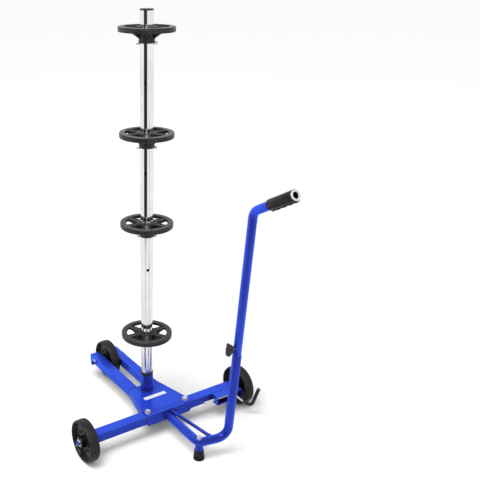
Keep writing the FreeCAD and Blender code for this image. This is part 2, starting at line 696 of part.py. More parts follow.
def disc_plate():
    """Spokes as one plate, a raised lip round each opening and a gusset under each spoke."""
    top = -size("disc_recess")
    thickness = size("disc_web")
    openings = disc_openings()
    plate = Part.makeCylinder(size("disc_rim_inner") + 1, thickness, Vector(0, 0, top - thickness))
    holes = []
    lips = []
    for face in openings:
        hole = face.extrude(Vector(0, 0, 4 * thickness))
        hole.translate(Vector(0, 0, top - 2 * thickness))
        holes.append(hole)
        lip = face.makeOffset2D(LIP_WIDTH).Faces[0].extrude(Vector(0, 0, LIP_HEIGHT + 1))
        lip.translate(Vector(0, 0, top - 1))
        lips.append(lip)
    ring = Part.makeCylinder(size("disc_rim_inner") + 1, 2 * thickness, Vector(0, 0, top - thickness))
    fins = []
    low = top - thickness + 0.5
    side_view = ((20, low), (71, low), (73, -12), (60, -14), (24, -38), (20, -38))
    half = size("gusset_thickness") / 2
    for number in range(int(size("spoke_count"))):
        corners = [Vector(x, -half, z) for x, z in side_view]
        fin = Part.Face(Part.makePolygon(corners + corners[:1])).extrude(Vector(0, 2 * half, 0))
        fin.rotate(Vector(), Vector(0, 0, 1), SPOKE_START + number * 360 / size("spoke_count"))
        fins.append(fin)
    raised = lips[0].fuse(lips[1:]).common(ring)
    return plate.fuse([raised] + fins).cut(holes).removeSplitter()


def support_disc(tag, top):
    """Six-spoked moulding with its upper face at local z = 0; the hub's notches straddle a cross pin."""
    rim_low = "-disc_rim_height"
    wall = pipe("DiscWall_" + tag, "disc_dia / 2", "disc_dia / 2 - disc_wall", "disc_rim_height",
                ("0", "0", rim_low))
    flat = pipe("DiscFlat_" + tag, "disc_dia / 2 - disc_wall / 2", "disc_rim_inner", "disc_web",
                ("0", "0", "-disc_web"))
    ledge = pipe("DiscLedge_" + tag, "disc_rim_inner + 3", "disc_rim_inner", "10", ("0", "0", "-10"))
    collar = rod("DiscFlange_" + tag, "disc_hub_dia / 2 + 3", "disc_recess + 1", ("0", "0", "-disc_recess - 1"))
    hub = cone("DiscHub_" + tag, "disc_hub_dia / 2", "disc_hub_dia / 2 + 1", "disc_pin_drop - disc_recess",
               ("0", "0", "-disc_pin_drop"))
    plate = made("DiscPlate_" + tag, disc_plate())
    blank = fuse("DiscBlank_" + tag, wall, flat, ledge, plate, collar, hub)
    bore = rod("DiscBore_" + tag, "mast_dia / 2 + running_gap", "disc_pin_drop + 2",
               ("0", "0", "-disc_pin_drop - 1"))
    notch = rod("DiscNotch_" + tag, "cross_pin_dia / 2 + 0.1", "disc_hub_dia + 4",
                ("-disc_hub_dia / 2 - 2", "0", "-disc_pin_drop"), "X")
    raw = cut("DiscRaw_" + tag, blank, group("DiscCuts_" + tag, bore, notch))
    doc.recompute()
    rounded = doc.addObject("Part::Fillet", "Disc_" + tag)
    rounded.Base = raw
    rounded.Edges = rim_edges(raw.Shape)
    rounded.Placement = Placement(Vector(), Rotation(Vector(0, 0, 1), size("mast_turn")))
    bind(rounded, Placement__Base__z=top)
    node(rounded, "support_disc_" + tag)


def rim_edges(shape):
    """Fillet list: the rim's outer edges."""
    wanted = []
    for number, edge in enumerate(shape.Edges, start=1):
        if edge.Curve.TypeId != "Part::GeomCircle":
            continue
        if abs(edge.Curve.Radius - size("disc_dia") / 2) < 1e-6:
            wanted.append((number, 2.4, 2.4))
    return wanted


def cross_pin(tag, top):
    pin = rod("CrossPin_" + tag, "cross_pin_dia / 2", "cross_pin_length",
              ("-cross_pin_length / 2", "0", "%s - disc_pin_drop" % top), "X")
    eased = doc.addObject("Part::Chamfer", "CrossPinEased_" + tag)
    eased.Base = pin
    doc.recompute()
    eased.Edges = [(number, 0.8, 0.8) for number, edge in enumerate(pin.Shape.Edges, start=1)
                   if edge.Curve.TypeId == "Part::GeomCircle"]
    node(turned_with_mast(eased), "cross_pin_" + tag)


# ---------------------------------------------------------------- wheel lock


PIN_Y = "(deck_front + sheet_thickness + bar_depth / 2 - lightening_circle)"
PIN_Z = "wheel_dia / 2"
BOX_TOP = "(deck_top - sheet_thickness)"
# level of the lever in the box, its crank and peg, and the clip that the spring pushes
LEVER_HEIGHT = 71
CRANK_FLOOR = 79.6
PEG_RADIUS = 2.5
SPRING_END = 235


def lock_pin_y():
    return bar_middle() - size("lightening_circle")


def lock_box():
    """Sheet box welded to the crossbar: open towards the front, pierced by the pin and the rivet."""
    rear = "deck_front + sheet_thickness"
    skin = box("BoxSkin", "box_end - box_start", rear + " - box_front", "box_height",
               ("box_start", "box_front", BOX_TOP + " - box_height"))
    void = box("BoxVoid", "box_end - box_start - 2 * tube_wall", rear + " - box_front + 2",
               "box_height - 2 * tube_wall",
               ("box_start + tube_wall", "box_front - 1", BOX_TOP + " - box_height + tube_wall"))
    through = rod("BoxPinHoles", "lock_pin_dia / 2 + running_gap", "box_end - box_start + 4",
                  ("box_start - 2", PIN_Y, PIN_Z), "X")
    rivet = rod("BoxRivetHoles", "rivet_dia / 2", "box_height + 4",
                ("pivot_x", "pivot_y", BOX_TOP + " - box_height - 2"))
    node(cut("LockBox", skin, group("BoxCuts", void, through, rivet)), "lock_box")
    shank = rod("RivetShank", "rivet_dia / 2", "box_height", ("pivot_x", "pivot_y", BOX_TOP + " - box_height"))
    head = cone("RivetHead", "5", "3.4", "2", ("pivot_x", "pivot_y", BOX_TOP))
    foot = rod("RivetFoot", "4.5", "1.5", ("pivot_x", "pivot_y", BOX_TOP + " - box_height - 1.5"))
    node(fuse("LockRivet", shank, head, foot), "lock_rivet")


def crank_rest_angle():
    """Direction of the crank at rest: swung back from straight behind the pivot."""
    return math.radians(90 + size("crank_half_turn"))


def crank_peg():
    angle = crank_rest_angle()
    return Vector(size("pivot_x") + size("crank_radius") * math.cos(angle),
                  size("pivot_y") + size("crank_radius") * math.sin(angle), 0)


def lever_path():
    """Side view of the lever: level at the pivot, down out of the box, up again at the toe."""
    angle = math.radians(size("lever_angle"))
    outward = Vector(math.cos(angle), math.sin(angle), 0)
    pivot = Vector(size("pivot_x"), size("pivot_y"), 0)
    side = [(4, LEVER_HEIGHT), (14, LEVER_HEIGHT), (36, 54), (70, 38), (92, 110)]
    corners = [pivot + outward * reach + Vector(0, 0, z) for reach, z in side]
    return corners, [10, 15, 14]


def lock_lever():
    corners, radii = lever_path()
    bar = swept_rod(rounded_path(corners, radii), size("lever_rod") / 2)
    pivot = Vector(size("pivot_x"), size("pivot_y"), 0)
    hub = Part.makeCylinder(6.5, 25, pivot + Vector(0, 0, 61.5))
    peg = crank_peg()
    arm_thickness = 3
    direction = (peg - pivot).normalize()
    across = direction.cross(Vector(0, 0, 1)) * 3.6
    low = Vector(0, 0, CRANK_FLOOR)
    slab = Part.Face(Part.makePolygon([pivot + across + low, peg + across + low, peg - across + low,
                                       pivot - across + low, pivot + across + low]))
    arm = slab.extrude(Vector(0, 0, arm_thickness))
    tip = Part.makeCylinder(3.6, arm_thickness, peg + low)
    pin = Part.makeCylinder(PEG_RADIUS, 4.6, peg + low - Vector(0, 0, 4.6))
    solid = bar.fuse([hub, arm, tip, pin])
    bore = Part.makeCylinder(size("rivet_dia") / 2 + size("running_gap"), 40, pivot + Vector(0, 0, 55))
    node(made("LockLever", solid.cut(bore).removeSplitter()), "lock_lever")

    wrap = [corners[2] + (corners[3] - corners[2]) * 0.05] + corners[3:]
    end = wrap[-1] + (wrap[-1] - wrap[-2]).normalize() * 2
    cover = swept_rod(rounded_path(wrap[:-1] + [end], [radii[-1]]), size("lever_sleeve_dia") / 2)
    node(made("LeverSleeve", cover.cut(bar)), "lever_sleeve")


def lock_pin():
    """Pin with a cross groove for the crank peg and a clip that holds the spring."""
    axis_y = lock_pin_y()
    axis_z = size("wheel_dia") / 2
    radius = size("lock_pin_dia") / 2
    start = Vector(size("lock_pin_inner_end"), axis_y, axis_z)
    length = size("lock_pin_outer_end") - size("lock_pin_inner_end")
    bar = Part.makeCylinder(radius, length, start, Vector(1, 0, 0))
    ends = [edge for edge in bar.Edges if edge.Curve.TypeId == "Part::GeomCircle"]
    bar = bar.makeChamfer(1, ends)
    groove_half = PEG_RADIUS + 0.5
    corner = Vector(crank_peg().x - groove_half, axis_y - 2 * radius, axis_z + 2)
    groove = Part.makeBox(2 * groove_half, 4 * radius, 4, corner)
    node(made("LockPin", bar.cut(groove)), "lock_pin")
    clip = Part.makeCylinder(6.5, 1.6, Vector(SPRING_END, axis_y, axis_z), Vector(1, 0, 0))
    node(made("LockPinClip", clip.cut(Part.makeCylinder(radius, 10, Vector(SPRING_END - 4, axis_y, axis_z),
                                                       Vector(1, 0, 0)))), "lock_pin_clip")


def lock_spring():
    """Compression spring round the pin between the box wall and the clip."""
    wire = 0.7
    start = size("box_start") + size("tube_wall") + wire + 0.1
    length = SPRING_END - wire - 0.1 - start
    turns = 9
    helix = Part.makeHelix(length / turns, length, 6.2)
    profile = Part.Wire([Part.makeCircle(wire, Vector(6.2, 0, 0), Vector(0, 1, 0))])
    coil = Part.Wire(helix.Edges).makePipeShell([profile], True, True)
    spring = made("LockSpring", coil)
    spring.Placement = Placement(Vector(start, lock_pin_y(), size("wheel_dia") / 2), TURNED["X"])
    node(spring, "lock_spring")


# ---------------------------------------------------------------- drawbar, foot and handle


# bend radii of the two tubes
CORNER_BEND = 24
UPRIGHT_BEND = 42
HANDLE_BEND = 40
# ridge under the grip, turned towards +X and waved for the fingers
FINGER_TURN = 20
FINGER_COUNT = 4
FINGER_DEPTH = 1.6
KEEL_REACH = 20
KEEL_HALF = 6
GRIP_RING = 3
GRIP_END_DEPTH = 22
GRIP_END_BORE = 20
# clamp: wing of the knob, and the slope of the cut that leaves the drawbar's tongue
WING_HALF = 8
WING_TURN = 32
TONGUE_SLOPE = 0.27


def upright_point(z):
    """Point on the leaning upright's axis at a height."""
    lean = math.tan(math.radians(size("handle_lean")))
    return Vector(size("upright_x"), size("upright_y") - lean * (z - size("drawbar_z")), z)


def upright_frame(z):
    """Placement at a height of the upright: local Z up the tube, local Y towards the rear."""
    return Placement(upright_point(z), Rotation(Vector(1, 0, 0), size("handle_lean")))


def drawbar_corners():
    z = size("drawbar_z")
    return [
        Vector(size("drawbar_x"), size("deck_front"), z),
        Vector(size("drawbar_x"), size("corner_y"), z),
        Vector(size("upright_x"), size("upright_y"), z),
    ]


def foot_point():
    """The foot stands under the middle of the drawbar's first bend."""
    return Vector(size("foot_x"), size("foot_y"), 0)


def drawbar_tube():
    """One tube: forward from the base, sideways over the foot, then up to the handle joint."""
    corners = drawbar_corners() + [upright_point(size("tongue_end_z") + 20)]
    path = rounded_path(corners, [CORNER_BEND, UPRIGHT_BEND])
    skin = swept_rod(path, size("drawbar_dia") / 2)
    void = swept_rod(path, size("drawbar_bore") / 2)
    tube = skin.cut(void)
    # above the joint a slanting cut leaves only a tongue on the -X side, for the clamp screw
    rise = size("tongue_end_z") - size("drawbar_end_z")
    side_view = ((30, 0), (-4.5, 0), (-4.5 - TONGUE_SLOPE * rise, rise), (-30, rise),
                 (-30, rise + 60), (30, rise + 60))
    corners = [Vector(x, -30, z) for x, z in side_view]
    waste = Part.Face(Part.makePolygon(corners + corners[:1])).extrude(Vector(0, 60, 0))
    waste.Placement = upright_frame(size("drawbar_end_z"))
    screw = Part.makeCylinder(4.1, 40, Vector(), Vector(-1, 0, 0))
    screw.Placement = upright_frame(size("knob_z"))
    bolt = Part.makeCylinder(4.2, 60, foot_point() + Vector(0, 0, size("drawbar_z") - 30))
    node(made("DrawbarTube", tube.cut([waste, screw, bolt])), "drawbar_tube")
    return skin


def brace_rod(drawbar_skin):
    start = Vector(6, size("deck_front"), 83)
    end = Vector(46, -344, 71)
    radius = size("brace_dia") / 2
    path = Part.Wire([Part.makeLine(start + (start - end).normalize() * 6, end)])
    bar = swept_rod(path, radius)
    behind = Part.makeBox(60, 40, 60, Vector(-24, size("deck_front"), 50))
    node(made("BraceRod", bar.cut(behind).cut(drawbar_skin)), "brace_rod")


def foot(drawbar_skin):
    """Leg under the drawbar's bend, its bolt and nut, and the rubber cap it stands on."""
    centre = foot_point()
    radius = size("foot_leg_dia") / 2
    leg_floor = 10
    block_floor = 47
    leg = Part.makeCylinder(radius, size("drawbar_z") - leg_floor, centre + Vector(0, 0, leg_floor))
    void = Part.makeCylinder(size("foot_leg_bore") / 2, block_floor - leg_floor,
                             centre + Vector(0, 0, leg_floor))
    bolt_hole = Part.makeCylinder(4.2, 60, centre + Vector(0, 0, 40))
    shape = leg.cut([void, drawbar_skin, bolt_hole])
    node(made("FootLeg", largest(shape)), "foot_leg")

    top = size("drawbar_z") + size("drawbar_dia") / 2
    shank = Part.makeCylinder(4, top + 1.6 - 37, centre + Vector(0, 0, 37))
    head = prism(13, 5.3, centre + Vector(0, 0, top + 1.6))
    node(made("FootBolt", shank.fuse(head)), "foot_bolt")
    saddle = Part.makeCylinder(8.5, 4.6, centre + Vector(0, 0, top - 3))
    saddle = saddle.cut([drawbar_skin, Part.makeCylinder(4.2, 20, centre + Vector(0, 0, top - 8))])
    node(made("FootWasher", largest(saddle)), "foot_washer")
    nut = prism(13, 6.5, centre + Vector(0, 0, block_floor - 6.5))
    node(made("FootNut", nut.cut(Part.makeCylinder(4, 20, centre + Vector(0, 0, 35)))), "foot_nut")

    height = size("foot_cap_height")
    skin = Part.makeCone(size("foot_cap_dia") / 2, size("foot_cap_top_dia") / 2, height, centre)
    pocket_shape = Part.makeCylinder(radius, height, centre + Vector(0, 0, leg_floor))
    cap = skin.cut(pocket_shape)
    lower_edge = [edge for edge in cap.Edges if abs(edge.CenterOfMass.z) < 0.01]
    node(made("FootCap", cap.makeFillet(2, lower_edge)), "foot_cap")


def largest(shape):
    """The biggest solid of a cut shape."""
    return max(shape.Solids, key=lambda solid: solid.Volume)


def prism(across_flats, height, at):
    """Hexagonal prism standing on a point."""
    radius = across_flats / 2 / math.cos(math.pi / 6)
    turns = [math.pi / 3 * corner for corner in range(7)]
    ring = [at + Vector(radius * math.cos(turn), radius * math.sin(turn), 0) for turn in turns]
    return Part.Face(Part.makePolygon(ring)).extrude(Vector(0, 0, height))


def grip_frame(along):
    """Placement on the grip's axis: local X along the grip, local Z towards the palm."""
    rise = math.radians(size("grip_rise"))
    axis = Vector(0, -math.cos(rise), math.sin(rise))
    origin = upright_point(size("handle_corner_z")) + axis * along
    level = Vector(1, 0, 0)
    return Placement(origin, Rotation(axis, level, axis.cross(level), "XYZ"))


def finger_keel(start, end):
    """Ridge under the grip whose outer edge waves for the fingers."""
    steps = 8 * FINGER_COUNT
    span = end - start
    wave = []
    for step in range(steps + 1):
        share = step / steps
        reach = KEEL_REACH - FINGER_DEPTH * (0.5 - 0.5 * math.cos(2 * math.pi * FINGER_COUNT * share))
        wave.append(Vector(start + span * share, -KEEL_HALF, -reach))
    curve = Part.BSplineCurve()
    curve.interpolate(wave)
    back = [wave[-1], Vector(end, -KEEL_HALF, 0), Vector(start, -KEEL_HALF, 0), wave[0]]
    edges = [curve.toShape()] + [Part.makeLine(back[n], back[n + 1]) for n in range(3)]
    return Part.Face(Part.Wire(edges)).extrude(Vector(0, 2 * KEEL_HALF, 0))


def handle():
    """Handle tube that telescopes in the drawbar, with its rubber grip and end ring."""
    corner = upright_point(size("handle_corner_z"))
    tube_end = grip_frame(size("grip_end") - GRIP_RING - GRIP_END_DEPTH).Base
    path = rounded_path([upright_point(size("handle_foot_z")), corner, tube_end], [HANDLE_BEND])
    skin = swept_rod(path, size("handle_dia") / 2)
    void = swept_rod(path, size("handle_bore") / 2)
    node(made("HandleTube", skin.cut(void)), "handle_tube")

    start = size("grip_start")
    end = size("grip_end") - GRIP_RING
    along = Vector(1, 0, 0)
    barrel = Part.makeCylinder(size("grip_dia") / 2, end - start, Vector(start, 0, 0), along)
    keel = finger_keel(start, end)
    keel.rotate(Vector(), along, FINGER_TURN)
    bore = Part.makeCylinder(size("handle_dia") / 2, end - GRIP_END_DEPTH - start, Vector(start, 0, 0), along)
    end_bore = Part.makeCylinder(GRIP_END_BORE / 2, end - start, Vector(start, 0, 0), along)
    grip = barrel.fuse(keel).cut([bore, end_bore]).removeSplitter()
    solid = made("HandleGrip", grip)
    solid.Placement = grip_frame(0)
    node(solid, "handle_grip")

    disc = Part.makeCylinder(size("grip_dia") / 2 - 1.4, GRIP_RING, Vector(end, 0, 0), along)
    reach = KEEL_REACH - 2.5
    tip = Part.makeBox(GRIP_RING, 1.6 * KEEL_HALF, reach, Vector(end, -0.8 * KEEL_HALF, -reach))
    tip.rotate(Vector(), along, FINGER_TURN)
    hole = Part.makeCylinder(GRIP_END_BORE / 2, GRIP_RING, Vector(end, 0, 0), along)
    solid = made("GripEndRing", disc.fuse(tip).cut(hole).removeSplitter())
    solid.Placement = grip_frame(0)
    node(solid, "grip_end_ring")


def clamp():
    """Wing knob on a stud, and the nut welded to the drawbar's tongue."""
    here = upright_frame(size("knob_z"))
    outward = Vector(-1, 0, 0)
    tube = size("drawbar_dia") / 2
    nut_end = tube + 6
    nut = prism(13, nut_end - tube + 3, Vector(0, 0, tube - 3))
    nut.rotate(Vector(), Vector(0, 1, 0), -90)
    nut = nut.cut([Part.makeCylinder(4.1, 40, Vector(), outward),
                   Part.makeCylinder(tube, 60, Vector(0, 0, -30), Vector(0, 0, 1))])
    solid = made("ClampNut", largest(nut))
    solid.Placement = here
    node(solid, "clamp_nut")

    foot_reach = nut_end + 1
    # half of the wing's outline: distance above the stud's axis, distance from the tube's axis
    half_outline = ((11, foot_reach), (12.5, foot_reach + 4), (19.5, foot_reach + 10), (22, foot_reach + 15),
                    (20.5, foot_reach + 20), (9, foot_reach + 21))
    corners = [Vector(-reach, -WING_HALF, z) for z, reach in half_outline]
    corners += [Vector(-reach, -WING_HALF, -z) for z, reach in reversed(half_outline)]
    wing = Part.Face(Part.makePolygon(corners + corners[:1])).extrude(Vector(0, 2 * WING_HALF, 0))
    face_edges = [edge for edge in wing.Edges if abs(abs(edge.CenterOfMass.y) - WING_HALF) < 1e-6]
    wing = wing.makeFillet(2.5, face_edges)
    hub = Part.makeCylinder(9, 20, outward * foot_reach, outward)
    knob = wing.fuse(hub).removeSplitter()
    knob = knob.cut(Part.makeCylinder(4, 12, outward * foot_reach, outward))
    knob.rotate(Vector(), outward, WING_TURN)
    solid = made("ClampKnob", knob)
    solid.Placement = here
    node(solid, "clamp_knob")

    stud_start = size("handle_dia") / 2 + 0.1
    solid = made("ClampStud", Part.makeCylinder(4, foot_reach + 12 - stud_start, outward * stud_start, outward))
    solid.Placement = here
    node(solid, "clamp_stud")


# ---------------------------------------------------------------- build and export


def moved_to_foot(item):
    """The sub-part in the exported frame, whose origin is under the middle of the foot."""
    label = item.Label
    item.Label = label + "_in_place"
    moved = doc.addObject("Part::Compound", "Row_" + label)
    moved.Links = [item]
    moved.Label = label
    return bind(moved, Placement__Base__x="-foot_x", Placement__Base__y="-foot_y")


base_plate()
crossbar()
fork()
mast_socket()
base_fasteners()
blank_label()
for tag, x, y in (("left", "-side_wheel_x", BAR_MIDDLE), ("right", "side_wheel_x", BAR_MIDDLE),
                  ("rear", "0", "rear_wheel_y")):
    wheel_bodies(tag, x, y)
axles()
mast()
for tag in ("low", "second", "third", "high"):
    support_disc(tag, "disc_" + tag)
    cross_pin(tag, "disc_" + tag)
lock_box()
lock_lever()
lock_pin()
lock_spring()
drawbar_skin = drawbar_tube()
brace_rod(drawbar_skin)
foot(drawbar_skin)
handle()
clamp()
doc.recompute()

ROW = [moved_to_foot(item) for item in NODES]
doc.recompute()

for item in doc.Objects:
    if "Invalid" in item.State or "Error" in item.State:
        raise RuntimeError("failed object: " + item.Label)
os.makedirs("parts", exist_ok=True)
for item in ROW:
    if item.Shape.isNull() or not item.Shape.isValid():
        raise RuntimeError("bad shape: " + item.Label)
for item in ROW:
    item.Shape.exportStep("parts/%s.step" % item.Label)
print(len(ROW), "sub-parts")
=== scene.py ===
import math
import json
import random
import bmesh
import bpy
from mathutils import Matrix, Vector


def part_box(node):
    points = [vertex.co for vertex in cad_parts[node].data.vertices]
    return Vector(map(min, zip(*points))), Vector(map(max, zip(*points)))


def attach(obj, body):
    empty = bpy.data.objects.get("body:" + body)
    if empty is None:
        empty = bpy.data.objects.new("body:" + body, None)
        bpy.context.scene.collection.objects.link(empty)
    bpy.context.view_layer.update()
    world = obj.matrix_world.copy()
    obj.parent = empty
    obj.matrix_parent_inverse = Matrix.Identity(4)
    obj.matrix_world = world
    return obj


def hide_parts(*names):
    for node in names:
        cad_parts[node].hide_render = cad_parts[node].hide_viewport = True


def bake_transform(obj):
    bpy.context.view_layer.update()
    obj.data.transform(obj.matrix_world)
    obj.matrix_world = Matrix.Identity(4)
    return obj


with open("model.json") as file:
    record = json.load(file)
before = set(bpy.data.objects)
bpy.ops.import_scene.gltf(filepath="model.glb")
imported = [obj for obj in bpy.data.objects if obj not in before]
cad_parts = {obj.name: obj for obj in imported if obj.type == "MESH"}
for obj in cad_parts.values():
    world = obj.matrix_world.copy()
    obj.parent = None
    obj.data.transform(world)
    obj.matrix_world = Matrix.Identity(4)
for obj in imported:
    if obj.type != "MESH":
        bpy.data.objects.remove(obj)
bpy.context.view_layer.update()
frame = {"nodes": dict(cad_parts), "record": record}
NODES = frame["nodes"]
MM = 0.001
AXIS_X = Vector((1, 0, 0))
AXIS_Y = Vector((0, 1, 0))
AXIS_Z = Vector((0, 0, 1))


def middle(node):
    """Centre of a CAD node's box."""
    low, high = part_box(node)
    return (low + high) / 2


def rgb(red, green, blue):
    return (red, green, blue, 1.0)


MAST_PLACE = middle("mast_socket")

# ---------------------------------------------------------------- node helpers

EDGE_SAMPLES = 4
HOLLOW_SAMPLES = 8
# cosine between true and rounded normal, on a flat face and on a sharp edge
EDGE_SPAN = (0.97, 0.80)
# cosine between a face's own normal and a round tube's: kept up to the first, round from the second
ROUND_SPAN = (0.90, 0.94)
UNIT = (0.0, 1.0)


class Recipe:
    """Small helper round one material's node tree."""

    def __init__(self, name):
        self.material = bpy.data.materials.new(name)
        self.material.use_nodes = True
        self.nodes = self.material.node_tree.nodes
        self.links = self.material.node_tree.links
        self.surface = self.nodes["Principled BSDF"]
        self.place = self.nodes.new("ShaderNodeTexCoord").outputs["Object"]

    def set(self, **values):
        for name, value in values.items():
            self.surface.inputs[name.replace("_", " ")].default_value = value

    def feed(self, socket, name):
        self.links.new(socket, self.surface.inputs[name])

    def add(self, kind, *sockets, **settings):
        """New node; sockets are linked to its first inputs, settings are attributes."""
        made = self.nodes.new(kind)
        for name, value in settings.items():
            setattr(made, name, value)
        for number, socket in enumerate(sockets):
            self.link_or_set(made.inputs[number], socket)
        return made

    def link_or_set(self, entry, value):
        if isinstance(value, bpy.types.NodeSocket):
            self.links.new(value, entry)
        else:
            entry.default_value = value

    def noise(self, scale, detail=3.0, rough=0.55, stretch=None):
        """Noise factor; scale counts features per metre."""
        place = self.place
        if stretch:
            mapping = self.add("ShaderNodeMapping", place)
            mapping.inputs["Scale"].default_value = stretch
            place = mapping.outputs[0]
        made = self.add("ShaderNodeTexNoise", place)
        made.inputs["Scale"].default_value = scale
        made.inputs["Detail"].default_value = detail
        made.inputs["Roughness"].default_value = rough
        return made.outputs["Fac"]

    def cells(self, scale):
        """Colour of random cells; scale counts cells per metre."""
        made = self.add("ShaderNodeTexVoronoi", self.place)
        made.inputs["Scale"].default_value = scale
        return made.outputs["Color"]

    def remap(self, socket, span, result):
        """Value of result that lies where the socket's value lies in span, both held at their ends."""
        return self.add("ShaderNodeMapRange", socket, *span, *result).outputs[0]

    def maths(self, operation, first, second=0.0):
        return self.add("ShaderNodeMath", first, second, operation=operation).outputs[0]

    def split(self, vector):
        """X and Y parts of a vector."""
        made = self.add("ShaderNodeSeparateXYZ", vector)
        return made.outputs["X"], made.outputs["Y"]

    def blend(self, factor, first, second):
        made = self.nodes.new("ShaderNodeMix")
        made.data_type = "RGBA"
        self.link_or_set(made.inputs[0], factor)
        self.link_or_set(made.inputs[6], first)
        self.link_or_set(made.inputs[7], second)
        return made.outputs[2]

    def edge(self, radius):
        """Mask that is 1 on sharp edges, for wear."""
        bevel = self.nodes.new("ShaderNodeBevel")
        bevel.inputs["Radius"].default_value = radius
        bevel.samples = EDGE_SAMPLES
        normal = self.nodes.new("ShaderNodeNewGeometry").outputs["Normal"]
        dot = self.add("ShaderNodeVectorMath", bevel.outputs[0], normal, operation="DOT_PRODUCT")
        return self.remap(dot.outputs["Value"], EDGE_SPAN, UNIT)

    def hollow(self, reach):
        """1 in the open, towards 0 where other surfaces are close."""
        made = self.nodes.new("ShaderNodeAmbientOcclusion")
        made.inputs["Distance"].default_value = reach
        made.samples = HOLLOW_SAMPLES
        return made.outputs["AO"]

    def bump(self, height, depth, strength):
        made = self.nodes.new("ShaderNodeBump")
        made.inputs["Strength"].default_value = strength
        made.inputs["Distance"].default_value = depth
        self.links.new(height, made.inputs["Height"])
        self.feed(made.outputs["Normal"], "Normal")
        return made

    def round_normal(self, axis):
        """Exact normal of an upright cylinder about the axis; elsewhere the mesh's own normal."""
        geometry = self.nodes.new("ShaderNodeNewGeometry")
        across, beyond = self.split(geometry.outputs["Position"])
        outward = self.add("ShaderNodeCombineXYZ",
                           self.maths("SUBTRACT", across, axis.x), self.maths("SUBTRACT", beyond, axis.y))
        unit = self.add("ShaderNodeVectorMath", outward.outputs[0], operation="NORMALIZE").outputs[0]
        own = geometry.outputs["Normal"]
        match = self.add("ShaderNodeVectorMath", unit, own, operation="DOT_PRODUCT").outputs["Value"]
        mixed = self.nodes.new("ShaderNodeMix")
        mixed.data_type = "VECTOR"
        self.links.new(self.remap(match, ROUND_SPAN, UNIT), mixed.inputs[0])
        self.links.new(own, mixed.inputs[4])
        self.links.new(unit, mixed.inputs[5])
        return self.add("ShaderNodeVectorMath", mixed.outputs[1], operation="NORMALIZE").outputs[0]


# ---------------------------------------------------------------- materials

# painted reflection: the coat's colour seen square (painted dark reflection) and at a slant (painted bright
# sheen), each as the dark and the light grain of its speckle
COAT_SQUARE_PAINTED_REFLECTION = (rgb(0.013, 0.018, 0.18), rgb(0.022, 0.034, 0.31))
COAT_SLANT_PAINTED_SHEEN = (rgb(0.028, 0.088, 0.76), rgb(0.042, 0.140, 1.00))
COAT_CLOUD = rgb(0.020, 0.014, 0.30)
COAT_HOLLOW_SHADE = rgb(0.022, 0.004, 0.075)
COAT_RUBBED_AND_HIGHLIGHT = rgb(0.13, 0.21, 0.95)
COAT_BOUNCED = rgb(0.06, 0.06, 0.10)
COAT_TINT = rgb(0.35, 0.50, 1.0)
COAT_GRAIN = 420
CHROME_CLEAN = rgb(0.92, 0.92, 0.93)
CHROME_SMUDGED = rgb(0.80, 0.80, 0.82)
DUST = rgb(0.060, 0.058, 0.055)
SCUFFED_BLACK = rgb(0.085, 0.085, 0.088)
HOLLOW_PAINTED_SHADE = rgb(0.002, 0.002, 0.002)
TARNISH = rgb(0.20, 0.18, 0.15)
RIB_PITCH = 2.2 * MM


def blue_coat():
    """Glossy ultramarine powder coat: fine speckle, orange peel, painted reflection that is dark seen
    square and bright at a slant, painted purple shade in hollows, and rubbed edges with a painted
    highlight.
    """
    paint = Recipe("blue_powder_coat")
    speckle = paint.remap(paint.noise(COAT_GRAIN, 3, 0.7), (0.38, 0.62), UNIT)
    # painted reflection: seen square the coat is painted deep ultramarine, seen along the surface it is
    # painted bright
    glance = paint.nodes.new("ShaderNodeLayerWeight")
    glance.inputs["Blend"].default_value = 0.5
    slant = paint.remap(glance.outputs["Facing"], (0.10, 0.62), UNIT)
    deep = paint.blend(speckle, *COAT_SQUARE_PAINTED_REFLECTION)
    bright = paint.blend(speckle, *COAT_SLANT_PAINTED_SHEEN)
    base = paint.blend(slant, deep, bright)
    cloud = paint.remap(paint.noise(9, 3), (0.45, 0.75), (0.0, 0.40))
    base = paint.blend(cloud, base, COAT_CLOUD)
    # painted shade: the coat turns dark purple where other surfaces are close
    hollow_shade = paint.remap(paint.hollow(45 * MM), (0.25, 0.90), (1.0, 0.0))
    base = paint.blend(hollow_shade, base, COAT_HOLLOW_SHADE)
    # rubbed edges in a brighter blue: partly wear, partly a painted edge highlight
    patchy = paint.remap(paint.noise(160, 4), (0.40, 0.60), (0.3, 0.9))
    base = paint.blend(paint.maths("MULTIPLY", paint.edge(0.9 * MM), patchy), base, COAT_RUBBED_AND_HIGHLIGHT)
    # light that has bounced off the paint keeps little of its colour, as under a large white tent
    bounced = paint.nodes.new("ShaderNodeLightPath").outputs["Is Diffuse Ray"]
    paint.feed(paint.blend(bounced, base, COAT_BOUNCED), "Base Color")
    paint.feed(paint.remap(paint.noise(35, 4), (0.3, 0.7), (0.14, 0.24)), "Roughness")
    paint.set(Metallic=0.50, Coat_Weight=0.14, Coat_Roughness=0.05,
              Specular_IOR_Level=0.06, Specular_Tint=COAT_TINT)
    peel = paint.maths("ADD", paint.noise(COAT_GRAIN, 2), paint.maths("MULTIPLY", speckle, 0.35))
    paint.bump(peel, 0.22 * MM, 0.5)
    return paint.material


def chrome():
    """Bright plated tube with faint polishing lines and smudges."""
    metal = Recipe("bright_chrome")
    smudge = metal.noise(14, 4)
    tone = metal.blend(metal.remap(smudge, (0.35, 0.7), UNIT), CHROME_CLEAN, CHROME_SMUDGED)
    metal.feed(tone, "Base Color")
    lines = metal.noise(900, 2, 0.6, (1.0, 1.0, 0.02))
    dull = metal.maths("ADD", smudge, metal.maths("MULTIPLY", lines, 0.4))
    metal.feed(metal.remap(dull, (0.4, 1.0), (0.03, 0.09)), "Roughness")
    metal.set(Metallic=1.0)
    relief = metal.bump(lines, 0.02 * MM, 0.15)
    metal.links.new(metal.round_normal(MAST_PLACE), relief.inputs["Normal"])
    return metal.material


